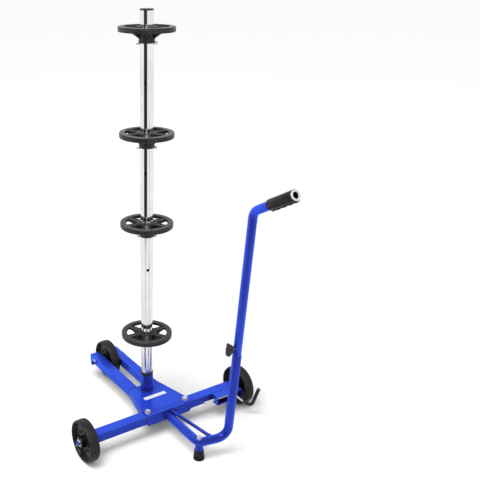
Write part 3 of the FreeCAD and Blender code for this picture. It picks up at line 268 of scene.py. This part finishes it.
def black_polymer(name, dark, pale, rough, grain, worn_edge, shine):
    """Black moulding: cloudy tone, specks of dust, scuffed edges, painted shade in the hollows and an
    eroded grain.
    """
    plastic = Recipe(name)
    cloud = plastic.remap(plastic.noise(30, 4), (0.3, 0.7), UNIT)
    base = plastic.blend(cloud, rgb(dark, dark, dark * 1.05), rgb(pale, pale, pale * 1.04))
    base = plastic.blend(plastic.remap(plastic.noise(480, 4, 0.7), (0.60, 0.80), (0.0, 0.30)), base, DUST)
    patchy = plastic.remap(plastic.noise(240, 3), (0.4, 0.65), (0.2, 1.0))
    scuff = plastic.maths("MULTIPLY", plastic.edge(0.8 * MM), patchy)
    base = plastic.blend(plastic.maths("MULTIPLY", scuff, worn_edge), base, SCUFFED_BLACK)
    # painted shade: colour, gloss and coat fade to near black where other surfaces are close
    unshaded_share = plastic.remap(plastic.hollow(30 * MM), (0.25, 0.95), UNIT)
    plastic.feed(plastic.blend(unshaded_share, HOLLOW_PAINTED_SHADE, base), "Base Color")
    plastic.feed(plastic.remap(unshaded_share, UNIT, (0.02, 0.16)), "Specular IOR Level")
    plastic.feed(plastic.remap(unshaded_share, UNIT, (0.0, shine)), "Coat Weight")
    plastic.set(Coat_Roughness=0.14)
    plastic.feed(plastic.remap(plastic.noise(60, 3), (0.3, 0.7), (rough - 0.06, rough + 0.10)), "Roughness")
    plastic.bump(plastic.noise(grain, 2), 0.14 * MM, 0.55)
    return plastic.material


def moulded_black():
    """Satin injection moulding of the discs, knob, ring and lever sleeve."""
    return black_polymer("moulded_black", dark=0.009, pale=0.017, rough=0.40,
                         grain=1500, worn_edge=0.55, shine=0.30)


def wheel_black():
    """Shinier moulding of the wheel cores."""
    return black_polymer("wheel_core_black", dark=0.001, pale=0.003, rough=0.24,
                         grain=900, worn_edge=0.30, shine=0.07)


def tyre_rubber():
    """Smooth, fairly dull solid tyre."""
    return black_polymer("solid_tyre_rubber", dark=0.008, pale=0.017, rough=0.50,
                         grain=800, worn_edge=0.30, shine=0.08)


def soft_rubber():
    """Matt rubber of the foot."""
    return black_polymer("soft_black_rubber", dark=0.009, pale=0.016, rough=0.58,
                         grain=1300, worn_edge=0.25, shine=0.03)


def grip_rubber():
    """Rubber of the grip, with fine ribs running along it."""
    rubber = Recipe("ribbed_grip_rubber")
    cloud = rubber.remap(rubber.noise(50, 4), (0.35, 0.7), UNIT)
    base = rubber.blend(cloud, rgb(0.003, 0.003, 0.004), rgb(0.007, 0.007, 0.008))
    patchy = rubber.remap(rubber.noise(180, 3), (0.4, 0.65), (0.1, 0.7))
    worn = rubber.maths("MULTIPLY", rubber.edge(1.2 * MM), patchy)
    rubber.feed(rubber.blend(worn, base, rgb(0.06, 0.06, 0.062)), "Base Color")
    rubber.feed(rubber.remap(cloud, UNIT, (0.34, 0.50)), "Roughness")
    rubber.set(Specular_IOR_Level=0.12, Coat_Weight=0.20, Coat_Roughness=0.16)
    aside = rubber.split(rubber.place)[0]
    rib = rubber.maths("SINE", rubber.maths("MULTIPLY", aside, 2 * math.pi / RIB_PITCH))
    rubber.bump(rubber.maths("ADD", rib, rubber.noise(1300, 2)), 0.25 * MM, 0.6)
    return rubber.material


def zinc():
    """Bright zinc of bolts, pins and the lock: soft spangle, light scratches, duller in the corners."""
    metal = Recipe("zinc_plated_steel")
    spangle = metal.add("ShaderNodeRGBToBW", metal.cells(260)).outputs[0]
    base = metal.blend(spangle, rgb(0.60, 0.60, 0.588), rgb(0.84, 0.84, 0.8232))
    tarnish = metal.remap(metal.hollow(4 * MM), (0.2, 0.8), (0.5, 0.0))
    metal.feed(metal.blend(tarnish, base, TARNISH), "Base Color")
    scratch = metal.noise(700, 3, 0.6, (1.0, 0.05, 1.0))
    metal.feed(metal.remap(metal.maths("ADD", spangle, scratch), (0.4, 1.4), (0.20, 0.40)), "Roughness")
    metal.set(Metallic=1.0)
    metal.bump(scratch, 0.05 * MM, 0.5)
    return metal.material


def brass():
    """Yellow passivated rivet."""
    metal = Recipe("yellow_passivated")
    stain = metal.noise(300, 4)
    metal.feed(metal.blend(stain, rgb(0.78, 0.58, 0.20), rgb(0.86, 0.72, 0.40)), "Base Color")
    metal.feed(metal.remap(stain, (0.3, 0.7), (0.22, 0.42)), "Roughness")
    metal.set(Metallic=1.0)
    metal.bump(metal.noise(900, 2), 0.04 * MM, 0.4)
    return metal.material


def label_film():
    """Blank strip: silvery film that has lost a little gloss."""
    film = Recipe("blank_label_film")
    haze = film.noise(120, 3)
    base = film.blend(haze, rgb(0.60, 0.60, 0.68), rgb(0.80, 0.80, 0.86))
    film.feed(film.blend(film.edge(1.5 * MM), base, rgb(0.42, 0.42, 0.55)), "Base Color")
    film.feed(film.remap(haze, (0.3, 0.7), (0.25, 0.4)), "Roughness")
    film.bump(film.noise(400, 2), 0.05 * MM, 0.3)
    return film.material


def grey_plastic():
    """Light grey end ring of the grip."""
    plastic = Recipe("light_grey_plastic")
    cloud = plastic.noise(90, 3)
    base = plastic.blend(cloud, rgb(0.40, 0.40, 0.42), rgb(0.56, 0.56, 0.58))
    scuff = plastic.maths("MULTIPLY", plastic.edge(0.8 * MM), 0.5)
    plastic.feed(plastic.blend(scuff, base, rgb(0.70, 0.70, 0.72)), "Base Color")
    plastic.feed(plastic.remap(cloud, (0.3, 0.7), (0.35, 0.5)), "Roughness")
    plastic.bump(plastic.noise(1200, 2), 0.1 * MM, 0.4)
    return plastic.material


def gap_shadow():
    """Dark line where two pieces meet: painted shade, a little mottled."""
    line = Recipe("joint_shadow")
    shade_mottle = line.noise(600, 3)
    line.feed(line.blend(shade_mottle, rgb(0.012, 0.011, 0.010), rgb(0.06, 0.055, 0.05)), "Base Color")
    line.feed(line.remap(shade_mottle, (0.3, 0.7), (0.5, 0.8)), "Roughness")
    line.bump(shade_mottle, 0.1 * MM, 0.5)
    return line.material


FINISH = {
    "blue_coat": blue_coat(),
    "chrome": chrome(),
    "black_plastic": moulded_black(),
    "tyre_rubber": tyre_rubber(),
    "black_rubber": soft_rubber(),
    "zinc_steel": zinc(),
    "brass": brass(),
    "white_label": label_film(),
    "grey_plastic": grey_plastic(),
}
WHEEL_FINISH = wheel_black()
OWN_FINISH = {
    "handle_grip": grip_rubber(),
    "wheel_core_left": WHEEL_FINISH,
    "wheel_core_right": WHEEL_FINISH,
    "wheel_core_rear": WHEEL_FINISH,
}
SHADOW_LINE = gap_shadow()
SLOT_OF = {part["node"]: part["material_slot"] for part in frame["record"]["subparts"]}

# width of the eased edges, by material slot
SOFT_EDGE = {
    "blue_coat": 0.6 * MM,
    "black_plastic": 0.6 * MM,
    "zinc_steel": 0.25 * MM,
    "tyre_rubber": 0.8 * MM,
    "black_rubber": 0.6 * MM,
    "grey_plastic": 0.4 * MM,
}
EASED_ANGLE = math.radians(38)
WELD_REACH = 0.01 * MM


def finish_node(name, piece):
    """Give a CAD node its material and, unless it is chrome, joined normals and slightly eased edges."""
    slot = SLOT_OF[name]
    piece.data.materials.clear()
    piece.data.materials.append(OWN_FINISH.get(name, FINISH[slot]))
    if slot == "chrome":
        return
    weld = piece.modifiers.new("weld", "WELD")
    weld.merge_threshold = WELD_REACH
    if slot in SOFT_EDGE:
        ease = piece.modifiers.new("ease", "BEVEL")
        ease.width = SOFT_EDGE[slot]
        ease.segments = 2
        ease.limit_method = "ANGLE"
        ease.angle_limit = EASED_ANGLE
        ease.harden_normals = True


for name, piece in NODES.items():
    finish_node(name, piece)

# ---------------------------------------------------------------- pieces that only the looks need

TUBE_RADIUS = 15 * MM
DRAWBAR_SIDE = -6 * MM
BRACE_RADIUS = 6 * MM

# a bead's radius swings with its ripples and has a little chance in it; all three are shares of the radius
BEAD_LEAST = 0.86
BEAD_SWING = 0.20
BEAD_CHANCE = 0.10
RIPPLE_TURN = 1.9
BEAD_SIDES = 8
BEAD_STEP = 1.2 * MM
# how far a bead's middle line stands off the upright face, or the deck, that it runs on
BEAD_OFF_FACE = 0.4 * MM
BEAD_OFF_DECK = 0.6 * MM

SOCKET_BEAD = 2.2 * MM
DRAWBAR_BEAD = 2.0 * MM
BRACE_BEAD = 1.5 * MM
LEG_BEAD = 1.5 * MM
BOX_BEAD = 1.3 * MM
BAR_END_BEAD = 1.0 * MM

LINE_SIDES = 6
GAP_RADIUS = 0.9 * MM
GAP_STEP = 4 * MM
JOINT_LINE_RADIUS = 0.35 * MM
JOINT_LINE_SUNK = 0.15 * MM

SPRING_WIRE = 0.7 * MM
SPRING_TURNS = 9
SPRING_SIDES = 10
SPRING_POINTS = SPRING_TURNS * 28
# share of the wire, at each end, that lies flat against its seat
SPRING_FLAT_END = 0.06


def piece_from(name, build, body, slot, material=None):
    """Smooth mesh object from a bmesh, riding on a body unless that is None."""
    mesh = bpy.data.meshes.new(name)
    bmesh.ops.recalc_face_normals(build, faces=build.faces)
    build.to_mesh(mesh)
    build.free()
    for face in mesh.polygons:
        face.use_smooth = True
    made = bpy.data.objects.new(name, mesh)
    bpy.context.scene.collection.objects.link(made)
    mesh.materials.append(material or FINISH[slot])
    if body:
        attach(made, body)
    return made


def ring_round(build, point, along, side, radius, sides):
    """One ring of vertices round a point, square to the direction along."""
    up = along.cross(side)
    ring = []
    for step in range(sides):
        turn = 2 * math.pi * step / sides
        offset = side * math.cos(turn) + up * math.sin(turn)
        ring.append(build.verts.new(point + offset * radius))
    return ring


def rings_along(build, points, radii, sides, closed):
    """A ring at every point of a row, carried from one to the next without twist."""
    count = len(points)
    rings = []
    side = None
    for number, point in enumerate(points):
        before = points[number - 1] if number or closed else point
        after = points[(number + 1) % count] if number < count - 1 or closed else point
        along = (after - before).normalized()
        if side is None:
            side = along.orthogonal().normalized()
        side = (side - along * side.dot(along)).normalized()
        rings.append(ring_round(build, point, along, side, radii[number], sides))
    return rings


def join_rings(build, first, second, shift=0):
    """Band of faces between two rings; shift turns the second against the first."""
    sides = len(first)
    for step in range(sides):
        build.faces.new((first[step], first[(step + 1) % sides],
                         second[(step + 1 + shift) % sides], second[(step + shift) % sides]))


def nearest_turn(first, second):
    """Number of the second ring's vertex that lies nearest to the first ring's first one."""
    return min(range(len(second)), key=lambda turn: (first[0].co - second[turn].co).length)


def sweep(points, radii, sides, closed):
    """Bmesh tube round a row of points, with a radius for every point."""
    build = bmesh.new()
    rings = rings_along(build, points, radii, sides, closed)
    for first, second in zip(rings, rings[1:]):
        join_rings(build, first, second)
    if closed:
        join_rings(build, rings[-1], rings[0], nearest_turn(rings[-1], rings[0]))
    else:
        build.faces.new(rings[0])
        build.faces.new(rings[-1])
    return build


def thread(points, radius, sides, closed):
    """Tube of one radius round a row of points."""
    return sweep(points, [radius] * len(points), sides, closed)


def weld_bead(name, points, radius, closed=False):
    """Rippled, slightly uneven bead of weld under the paint; every ripple is one push of the torch."""
    chance = random.Random(name)
    radii = []
    for number in range(len(points)):
        share = BEAD_LEAST + BEAD_SWING * math.sin(number * RIPPLE_TURN) + BEAD_CHANCE * chance.random()
        radii.append(radius * share)
    piece_from(name, sweep(points, radii, BEAD_SIDES, closed), "base", "blue_coat")


def spaced(start, end, step):
    """Points along a straight line."""
    start, end = Vector(start), Vector(end)
    count = max(2, round((end - start).length / step))
    return [start.lerp(end, number / count) for number in range(count + 1)]


def along_corners(corners, step):
    """Points along the straight lines from corner to corner."""
    path = spaced(corners[0], corners[1], step)
    for start, end in zip(corners[1:], corners[2:]):
        path += spaced(start, end, step)[1:]
    return path


def circle(centre, first, second, radius, count):
    """Points round a circle spanned by two directions."""
    points = []
    for number in range(count):
        turn = 2 * math.pi * number / count
        points.append(centre + (first * math.cos(turn) + second * math.sin(turn)) * radius)
    return points


def socket_bead():
    """Bead round the foot of the mast socket, on the deck."""
    low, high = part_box("mast_socket")
    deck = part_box("base_plate")[1].z
    centre = Vector(((low.x + high.x) / 2, (low.y + high.y) / 2, deck + BEAD_OFF_DECK))
    ring = circle(centre, AXIS_X, AXIS_Y, (high.x - low.x) / 2, 90)
    weld_bead("weld_socket", ring, SOCKET_BEAD, closed=True)


def drawbar_bead():
    """Bead round the drawbar tube, where it meets the front flange."""
    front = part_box("base_plate")[0].y
    centre = Vector((DRAWBAR_SIDE, front - BEAD_OFF_FACE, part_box("drawbar_tube")[0].z + TUBE_RADIUS))
    weld_bead("weld_drawbar", circle(centre, AXIS_X, AXIS_Z, TUBE_RADIUS, 70), DRAWBAR_BEAD, closed=True)


def brace_beads():
    """Beads at both ends of the brace, each round the rod where it meets its neighbour."""
    low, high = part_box("brace_rod")
    radius = BRACE_RADIUS
    rear = Vector((low.x + radius, high.y - BEAD_OFF_FACE, high.z - radius))
    weld_bead("weld_brace_rear", circle(rear, AXIS_X, AXIS_Z, radius, 34), BRACE_BEAD, closed=True)
    front = Vector((high.x - radius, low.y + radius, low.z + radius))
    along = (front - rear).normalized()
    across = along.cross(AXIS_Z).normalized()
    ring = circle(front - along * 1.0 * MM, across, across.cross(along), radius, 34)
    weld_bead("weld_brace_front", ring, BRACE_BEAD, closed=True)


def leg_beads():
    """Bead up the outside and over the top where each fork leg meets the base plate."""
    for side in ("left", "right"):
        low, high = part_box("fork_leg_" + side)
        outer, inner = (low.x, high.x) if side == "left" else (high.x, low.x)
        corners = [(outer, low.y, low.z + 3 * MM), (outer, low.y, high.z), (inner, low.y, high.z)]
        weld_bead("weld_leg_" + side, along_corners(corners, BEAD_STEP), LEG_BEAD)


def box_bead():
    """Seam of the lock box on the crossbar, up its inner end and over its top."""
    low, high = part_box("lock_box")
    corners = [(low.x, high.y, low.z), (low.x, high.y, high.z), (high.x, high.y, high.z)]
    weld_bead("weld_lock_box", along_corners(corners, BEAD_STEP), BOX_BEAD)


def bar_end_beads():
    """Bead round each end plate of the crossbar."""
    low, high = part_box("crossbar")
    for side, x in (("left", low.x), ("right", high.x)):
        corners = [(x, low.y, low.z), (x, high.y, low.z), (x, high.y, high.z), (x, low.y, high.z)]
        path = along_corners(corners + corners[:1], BEAD_STEP)[:-1]
        weld_bead("weld_bar_end_" + side, path, BAR_END_BEAD, closed=True)


def flange_gaps():
    """Strips of painted shade in the gaps at both ends of the front flange, where it laps over the
    crossbar.
    """
    low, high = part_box("base_plate")
    bar_low, bar_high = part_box("crossbar")
    front = bar_low.y - 0.2 * MM
    for side, x in (("left", low.x - 0.3 * MM), ("right", high.x + 0.3 * MM)):
        path = spaced((x, front, bar_low.z + 2 * MM), (x, front, bar_high.z - 1 * MM), GAP_STEP)
        build = thread(path, GAP_RADIUS, LINE_SIDES, False)
        piece_from("flange_gap_" + side, build, "base", "blue_coat", SHADOW_LINE)


def joint_line():
    """Dark line where two mast tubes butt against each other."""
    low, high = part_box("mast_upper")
    centre = middle("mast_upper")
    centre.z = low.z
    ring = circle(centre, AXIS_X, AXIS_Y, (high.x - low.x) / 2 - JOINT_LINE_SUNK, 72)
    build = thread(ring, JOINT_LINE_RADIUS, LINE_SIDES, True)
    piece_from("mast_joint_line", build, "mast", "chrome", SHADOW_LINE)


def spring_line(low, high, centre):
    """Middle line of the spring's wire, along X; the end coils lie flat against their seats."""
    radius = (high.y - low.y) / 2 - SPRING_WIRE
    start = low.x + SPRING_WIRE
    length = high.x - low.x - 2 * SPRING_WIRE
    points = []
    for number in range(SPRING_POINTS + 1):
        done = number / SPRING_POINTS
        turn = 2 * math.pi * SPRING_TURNS * done
        share = min(max((done - SPRING_FLAT_END) / (1 - 2 * SPRING_FLAT_END), 0.0), 1.0)
        points.append(Vector((start + length * share, centre.y + radius * math.cos(turn),
                              centre.z + radius * math.sin(turn))))
    return points


def lock_spring():
    """Coil round the lock pin, between the box and the clip."""
    low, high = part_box("lock_spring")
    centre = middle("lock_spring")
    build = thread(spring_line(low, high, centre), SPRING_WIRE, SPRING_SIDES, False)
    coil = piece_from("lock_spring_coil", build, None, "zinc_steel")
    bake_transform(coil)
    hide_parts("lock_spring")


socket_bead()
drawbar_bead()
brace_beads()
leg_beads()
box_bead()
bar_end_beads()
flange_gaps()
joint_line()
lock_spring()

# ---------------------------------------------------------------- stage, light and camera

# sensor width and focal length in millimetres, shift in sensor widths, place in metres, angles in degrees
SENSOR = 36
LENS = 54.489
LENS_SHIFT = (0.1941667, -0.0019583)
CAMERA_PLACE = (-1.2101, MAST_PLACE.y - 1.9395, 1.5615)
CAMERA_TURN = -31.96
CAMERA_PITCH = 21.11

# lamps: name, place, height on the mast that it points at, width and length in metres, watts
LAMPS = (
    ("overhead", (-1.5, MAST_PLACE.y - 0.5, 3.8), 0.2, 2.6, 2.6, 150),
    ("front", (-2.2, MAST_PLACE.y - 2.6, 2.2), 0.6, 1.6, 2.0, 26),
)
WHITE = rgb(1.0, 1.0, 1.0)
WORLD_LIGHT = 0.58
# light added to the floor far from the mast, and to the backdrop, so that both come out white
BACK_GLOW = 0.42
GLOW_SPAN = (1.0, 4.5)
FLOOR_HALF = 60

REFLECTED_WORLD = 0.95
REFLECTED_SKY = rgb(1.0, 1.0, 1.02)
REFLECTED_WHITE = rgb(0.93, 0.93, 0.94)
REFLECTED_DARK = rgb(0.030, 0.028, 0.026)
REFLECTED_SHADE = rgb(0.58, 0.58, 0.60)
# the base's shade on the floor, by distance from the mast
SHADE_SPAN = (0.30, 0.46)
# dark flag beside the camera: direction from the mast, half width and soft edge, in degrees
FLAG_MIDDLE = -144
FLAG_HALF = 26
FLAG_SOFT = 5
# flags lying on the floor: direction, half width and soft edge in degrees, start and fade in metres,
# darkness
FLOOR_FLAGS = (
    (FLAG_MIDDLE, FLAG_HALF, FLAG_SOFT, 1.6, 0.5, 1.0),
    (FLAG_MIDDLE, 3, 5, 0.7, 0.2, 0.45),
    (58, 16, 8, 0.8, 0.4, 0.75),
)


def floor_sheet():
    """Large flat floor."""
    mesh = bpy.data.meshes.new("studio_floor")
    build = bmesh.new()
    bmesh.ops.create_grid(build, x_segments=2, y_segments=2, size=FLOOR_HALF)
    build.to_mesh(mesh)
    build.free()
    floor = bpy.data.objects.new("studio_floor", mesh)
    bpy.context.scene.collection.objects.link(floor)
    mesh.materials.append(floor_finish())


def floor_finish():
    """Pale floor that fades to plain white far out; mirror-like reflections see the flags on it instead."""
    look = Recipe("pale_floor")
    look.feed(look.blend(look.noise(2.0, 2), rgb(0.90, 0.90, 0.90), rgb(0.93, 0.93, 0.93)), "Base Color")
    look.set(Roughness=0.8, Specular_IOR_Level=0.1)
    mirror = look.add("ShaderNodeEmission", flag_shade(look))
    glossy = look.nodes.new("ShaderNodeLightPath").outputs["Is Glossy Ray"]
    away = look.add("ShaderNodeVectorMath", look.place, tuple(MAST_PLACE), operation="DISTANCE")
    glow = look.remap(away.outputs["Value"], GLOW_SPAN, (0.0, BACK_GLOW))
    lit = look.add("ShaderNodeAddShader", look.surface.outputs[0],
                   look.add("ShaderNodeEmission", WHITE, glow).outputs[0])
    mixed = look.add("ShaderNodeMixShader", glossy, lit.outputs[0], mirror.outputs[0])
    look.links.new(mixed.outputs[0], look.nodes["Material Output"].inputs["Surface"])
    return look.material


def scaled_sum(look, first, first_share, second, second_share, operation="ADD"):
    """Sum, or difference, of two values that are each scaled first."""
    return look.maths(operation, look.maths("MULTIPLY", first, first_share),
                      look.maths("MULTIPLY", second, second_share))


def flag_cover(look, aside, beyond, distance, flag):
    """How much one flag covers a spot on the floor, 0 to its darkness."""
    direction, half, soft, start, fade, darkness = flag
    middle_turn = math.radians(direction)
    ahead = scaled_sum(look, aside, math.cos(middle_turn), beyond, math.sin(middle_turn))
    across = scaled_sum(look, beyond, math.cos(middle_turn), aside, math.sin(middle_turn), "SUBTRACT")
    # angle from the flag's middle, in degrees
    turn = look.maths("ABSOLUTE", look.maths("DEGREES", look.maths("ARCTAN2", across, ahead)))
    width = look.remap(turn, (half, half + soft), (darkness, 0.0))
    reach = look.remap(distance, (start, start + fade), UNIT)
    return look.maths("MULTIPLY", width, reach)


def flag_shade(look):
    """Colour of the floor in reflections: pale near the mast, with dark sectors further out."""
    across, along = look.split(look.place)
    aside = look.maths("SUBTRACT", across, MAST_PLACE.x)
    beyond = look.maths("SUBTRACT", along, MAST_PLACE.y)
    distance = look.maths("SQRT", scaled_sum(look, aside, aside, beyond, beyond))
    shade = 0.0
    for flag in FLOOR_FLAGS:
        shade = look.maths("MAXIMUM", flag_cover(look, aside, beyond, distance, flag), shade)
    # the floor close to the base lies in its shade
    pale = look.blend(look.remap(distance, SHADE_SPAN, UNIT), REFLECTED_SHADE, REFLECTED_WHITE)
    return look.blend(shade, pale, REFLECTED_DARK)


def choose(nodes, links, ray, otherwise, chosen):
    """Shader that is the chosen one for rays of one kind."""
    mixed = nodes.new("ShaderNodeMixShader")
    links.new(ray, mixed.inputs[0])
    links.new(otherwise, mixed.inputs[1])
    links.new(chosen, mixed.inputs[2])
    return mixed.outputs[0]


def direction_share(nodes, links):
    """Direction in the level plane, from 0 at -180 degrees to 1 at 180 degrees."""
    split = nodes.new("ShaderNodeSeparateXYZ")
    links.new(nodes.new("ShaderNodeTexCoord").outputs["Generated"], split.inputs[0])
    angle = nodes.new("ShaderNodeMath")
    angle.operation = "ARCTAN2"
    links.new(split.outputs["Y"], angle.inputs[0])
    links.new(split.outputs["X"], angle.inputs[1])
    share = nodes.new("ShaderNodeMapRange")
    share.inputs["From Min"].default_value = -math.pi
    share.inputs["From Max"].default_value = math.pi
    links.new(angle.outputs[0], share.inputs["Value"])
    return share.outputs[0]


def flag_ramp(nodes, links):
    """Bright surroundings with one dark sector."""
    ramp = nodes.new("ShaderNodeValToRGB")
    links.new(direction_share(nodes, links), ramp.inputs["Fac"])
    stops = ramp.color_ramp.elements
    while len(stops) > 1:
        stops.remove(stops[0])
    stops[0].position = 0.0
    stops[0].color = REFLECTED_SKY
    for degrees, colour in ((FLAG_MIDDLE - FLAG_HALF - FLAG_SOFT, REFLECTED_SKY),
                            (FLAG_MIDDLE - FLAG_HALF, REFLECTED_DARK),
                            (FLAG_MIDDLE + FLAG_HALF, REFLECTED_DARK),
                            (FLAG_MIDDLE + FLAG_HALF + FLAG_SOFT, REFLECTED_SKY)):
        stops.new((degrees + 180) / 360).color = colour
    return ramp.outputs["Color"]


def studio_world():
    """White surroundings; the camera sees a plainer, brighter white and reflections see one dark flag."""
    world = bpy.data.worlds.new("studio")
    bpy.context.scene.world = world
    world.use_nodes = True
    nodes = world.node_tree.nodes
    links = world.node_tree.links
    plain = nodes["Background"]
    flagged = nodes.new("ShaderNodeBackground")
    backdrop = nodes.new("ShaderNodeBackground")
    plain.inputs["Color"].default_value = WHITE
    backdrop.inputs["Color"].default_value = WHITE
    links.new(flag_ramp(nodes, links), flagged.inputs["Color"])
    plain.inputs["Strength"].default_value = WORLD_LIGHT
    flagged.inputs["Strength"].default_value = REFLECTED_WORLD
    backdrop.inputs["Strength"].default_value = WORLD_LIGHT + BACK_GLOW
    ray = nodes.new("ShaderNodeLightPath")
    seen = choose(nodes, links, ray.outputs["Is Glossy Ray"], plain.outputs[0], flagged.outputs[0])
    shown = choose(nodes, links, ray.outputs["Is Camera Ray"], seen, backdrop.outputs[0])
    links.new(shown, nodes["World Output"].inputs["Surface"])


def area_light(name, place, aim_height, width, length, watts):
    """Soft rectangular lamp that points at the mast."""
    data = bpy.data.lights.new(name, "AREA")
    data.shape = "RECTANGLE"
    data.size = width
    data.size_y = length
    data.energy = watts
    lamp = bpy.data.objects.new(name, data)
    lamp.location = place
    aim = Vector((0, MAST_PLACE.y, aim_height)) - Vector(place)
    lamp.rotation_euler = aim.to_track_quat("-Z", "Y").to_euler()
    bpy.context.scene.collection.objects.link(lamp)


def studio_camera():
    """Camera that shows the whole object from its front left, a little from above."""
    data = bpy.data.cameras.new("camera")
    data.sensor_width = SENSOR
    data.lens = LENS
    data.shift_x, data.shift_y = LENS_SHIFT
    camera = bpy.data.objects.new("camera", data)
    camera.location = CAMERA_PLACE
    camera.rotation_euler = (math.radians(90 - CAMERA_PITCH), 0, math.radians(CAMERA_TURN))
    bpy.context.scene.collection.objects.link(camera)
    bpy.context.scene.camera = camera


floor_sheet()
studio_world()
for lamp in LAMPS:
    area_light(*lamp)
studio_camera()
bpy.context.scene.view_settings.view_transform = "Standard"
bpy.context.scene.view_settings.look = "None"
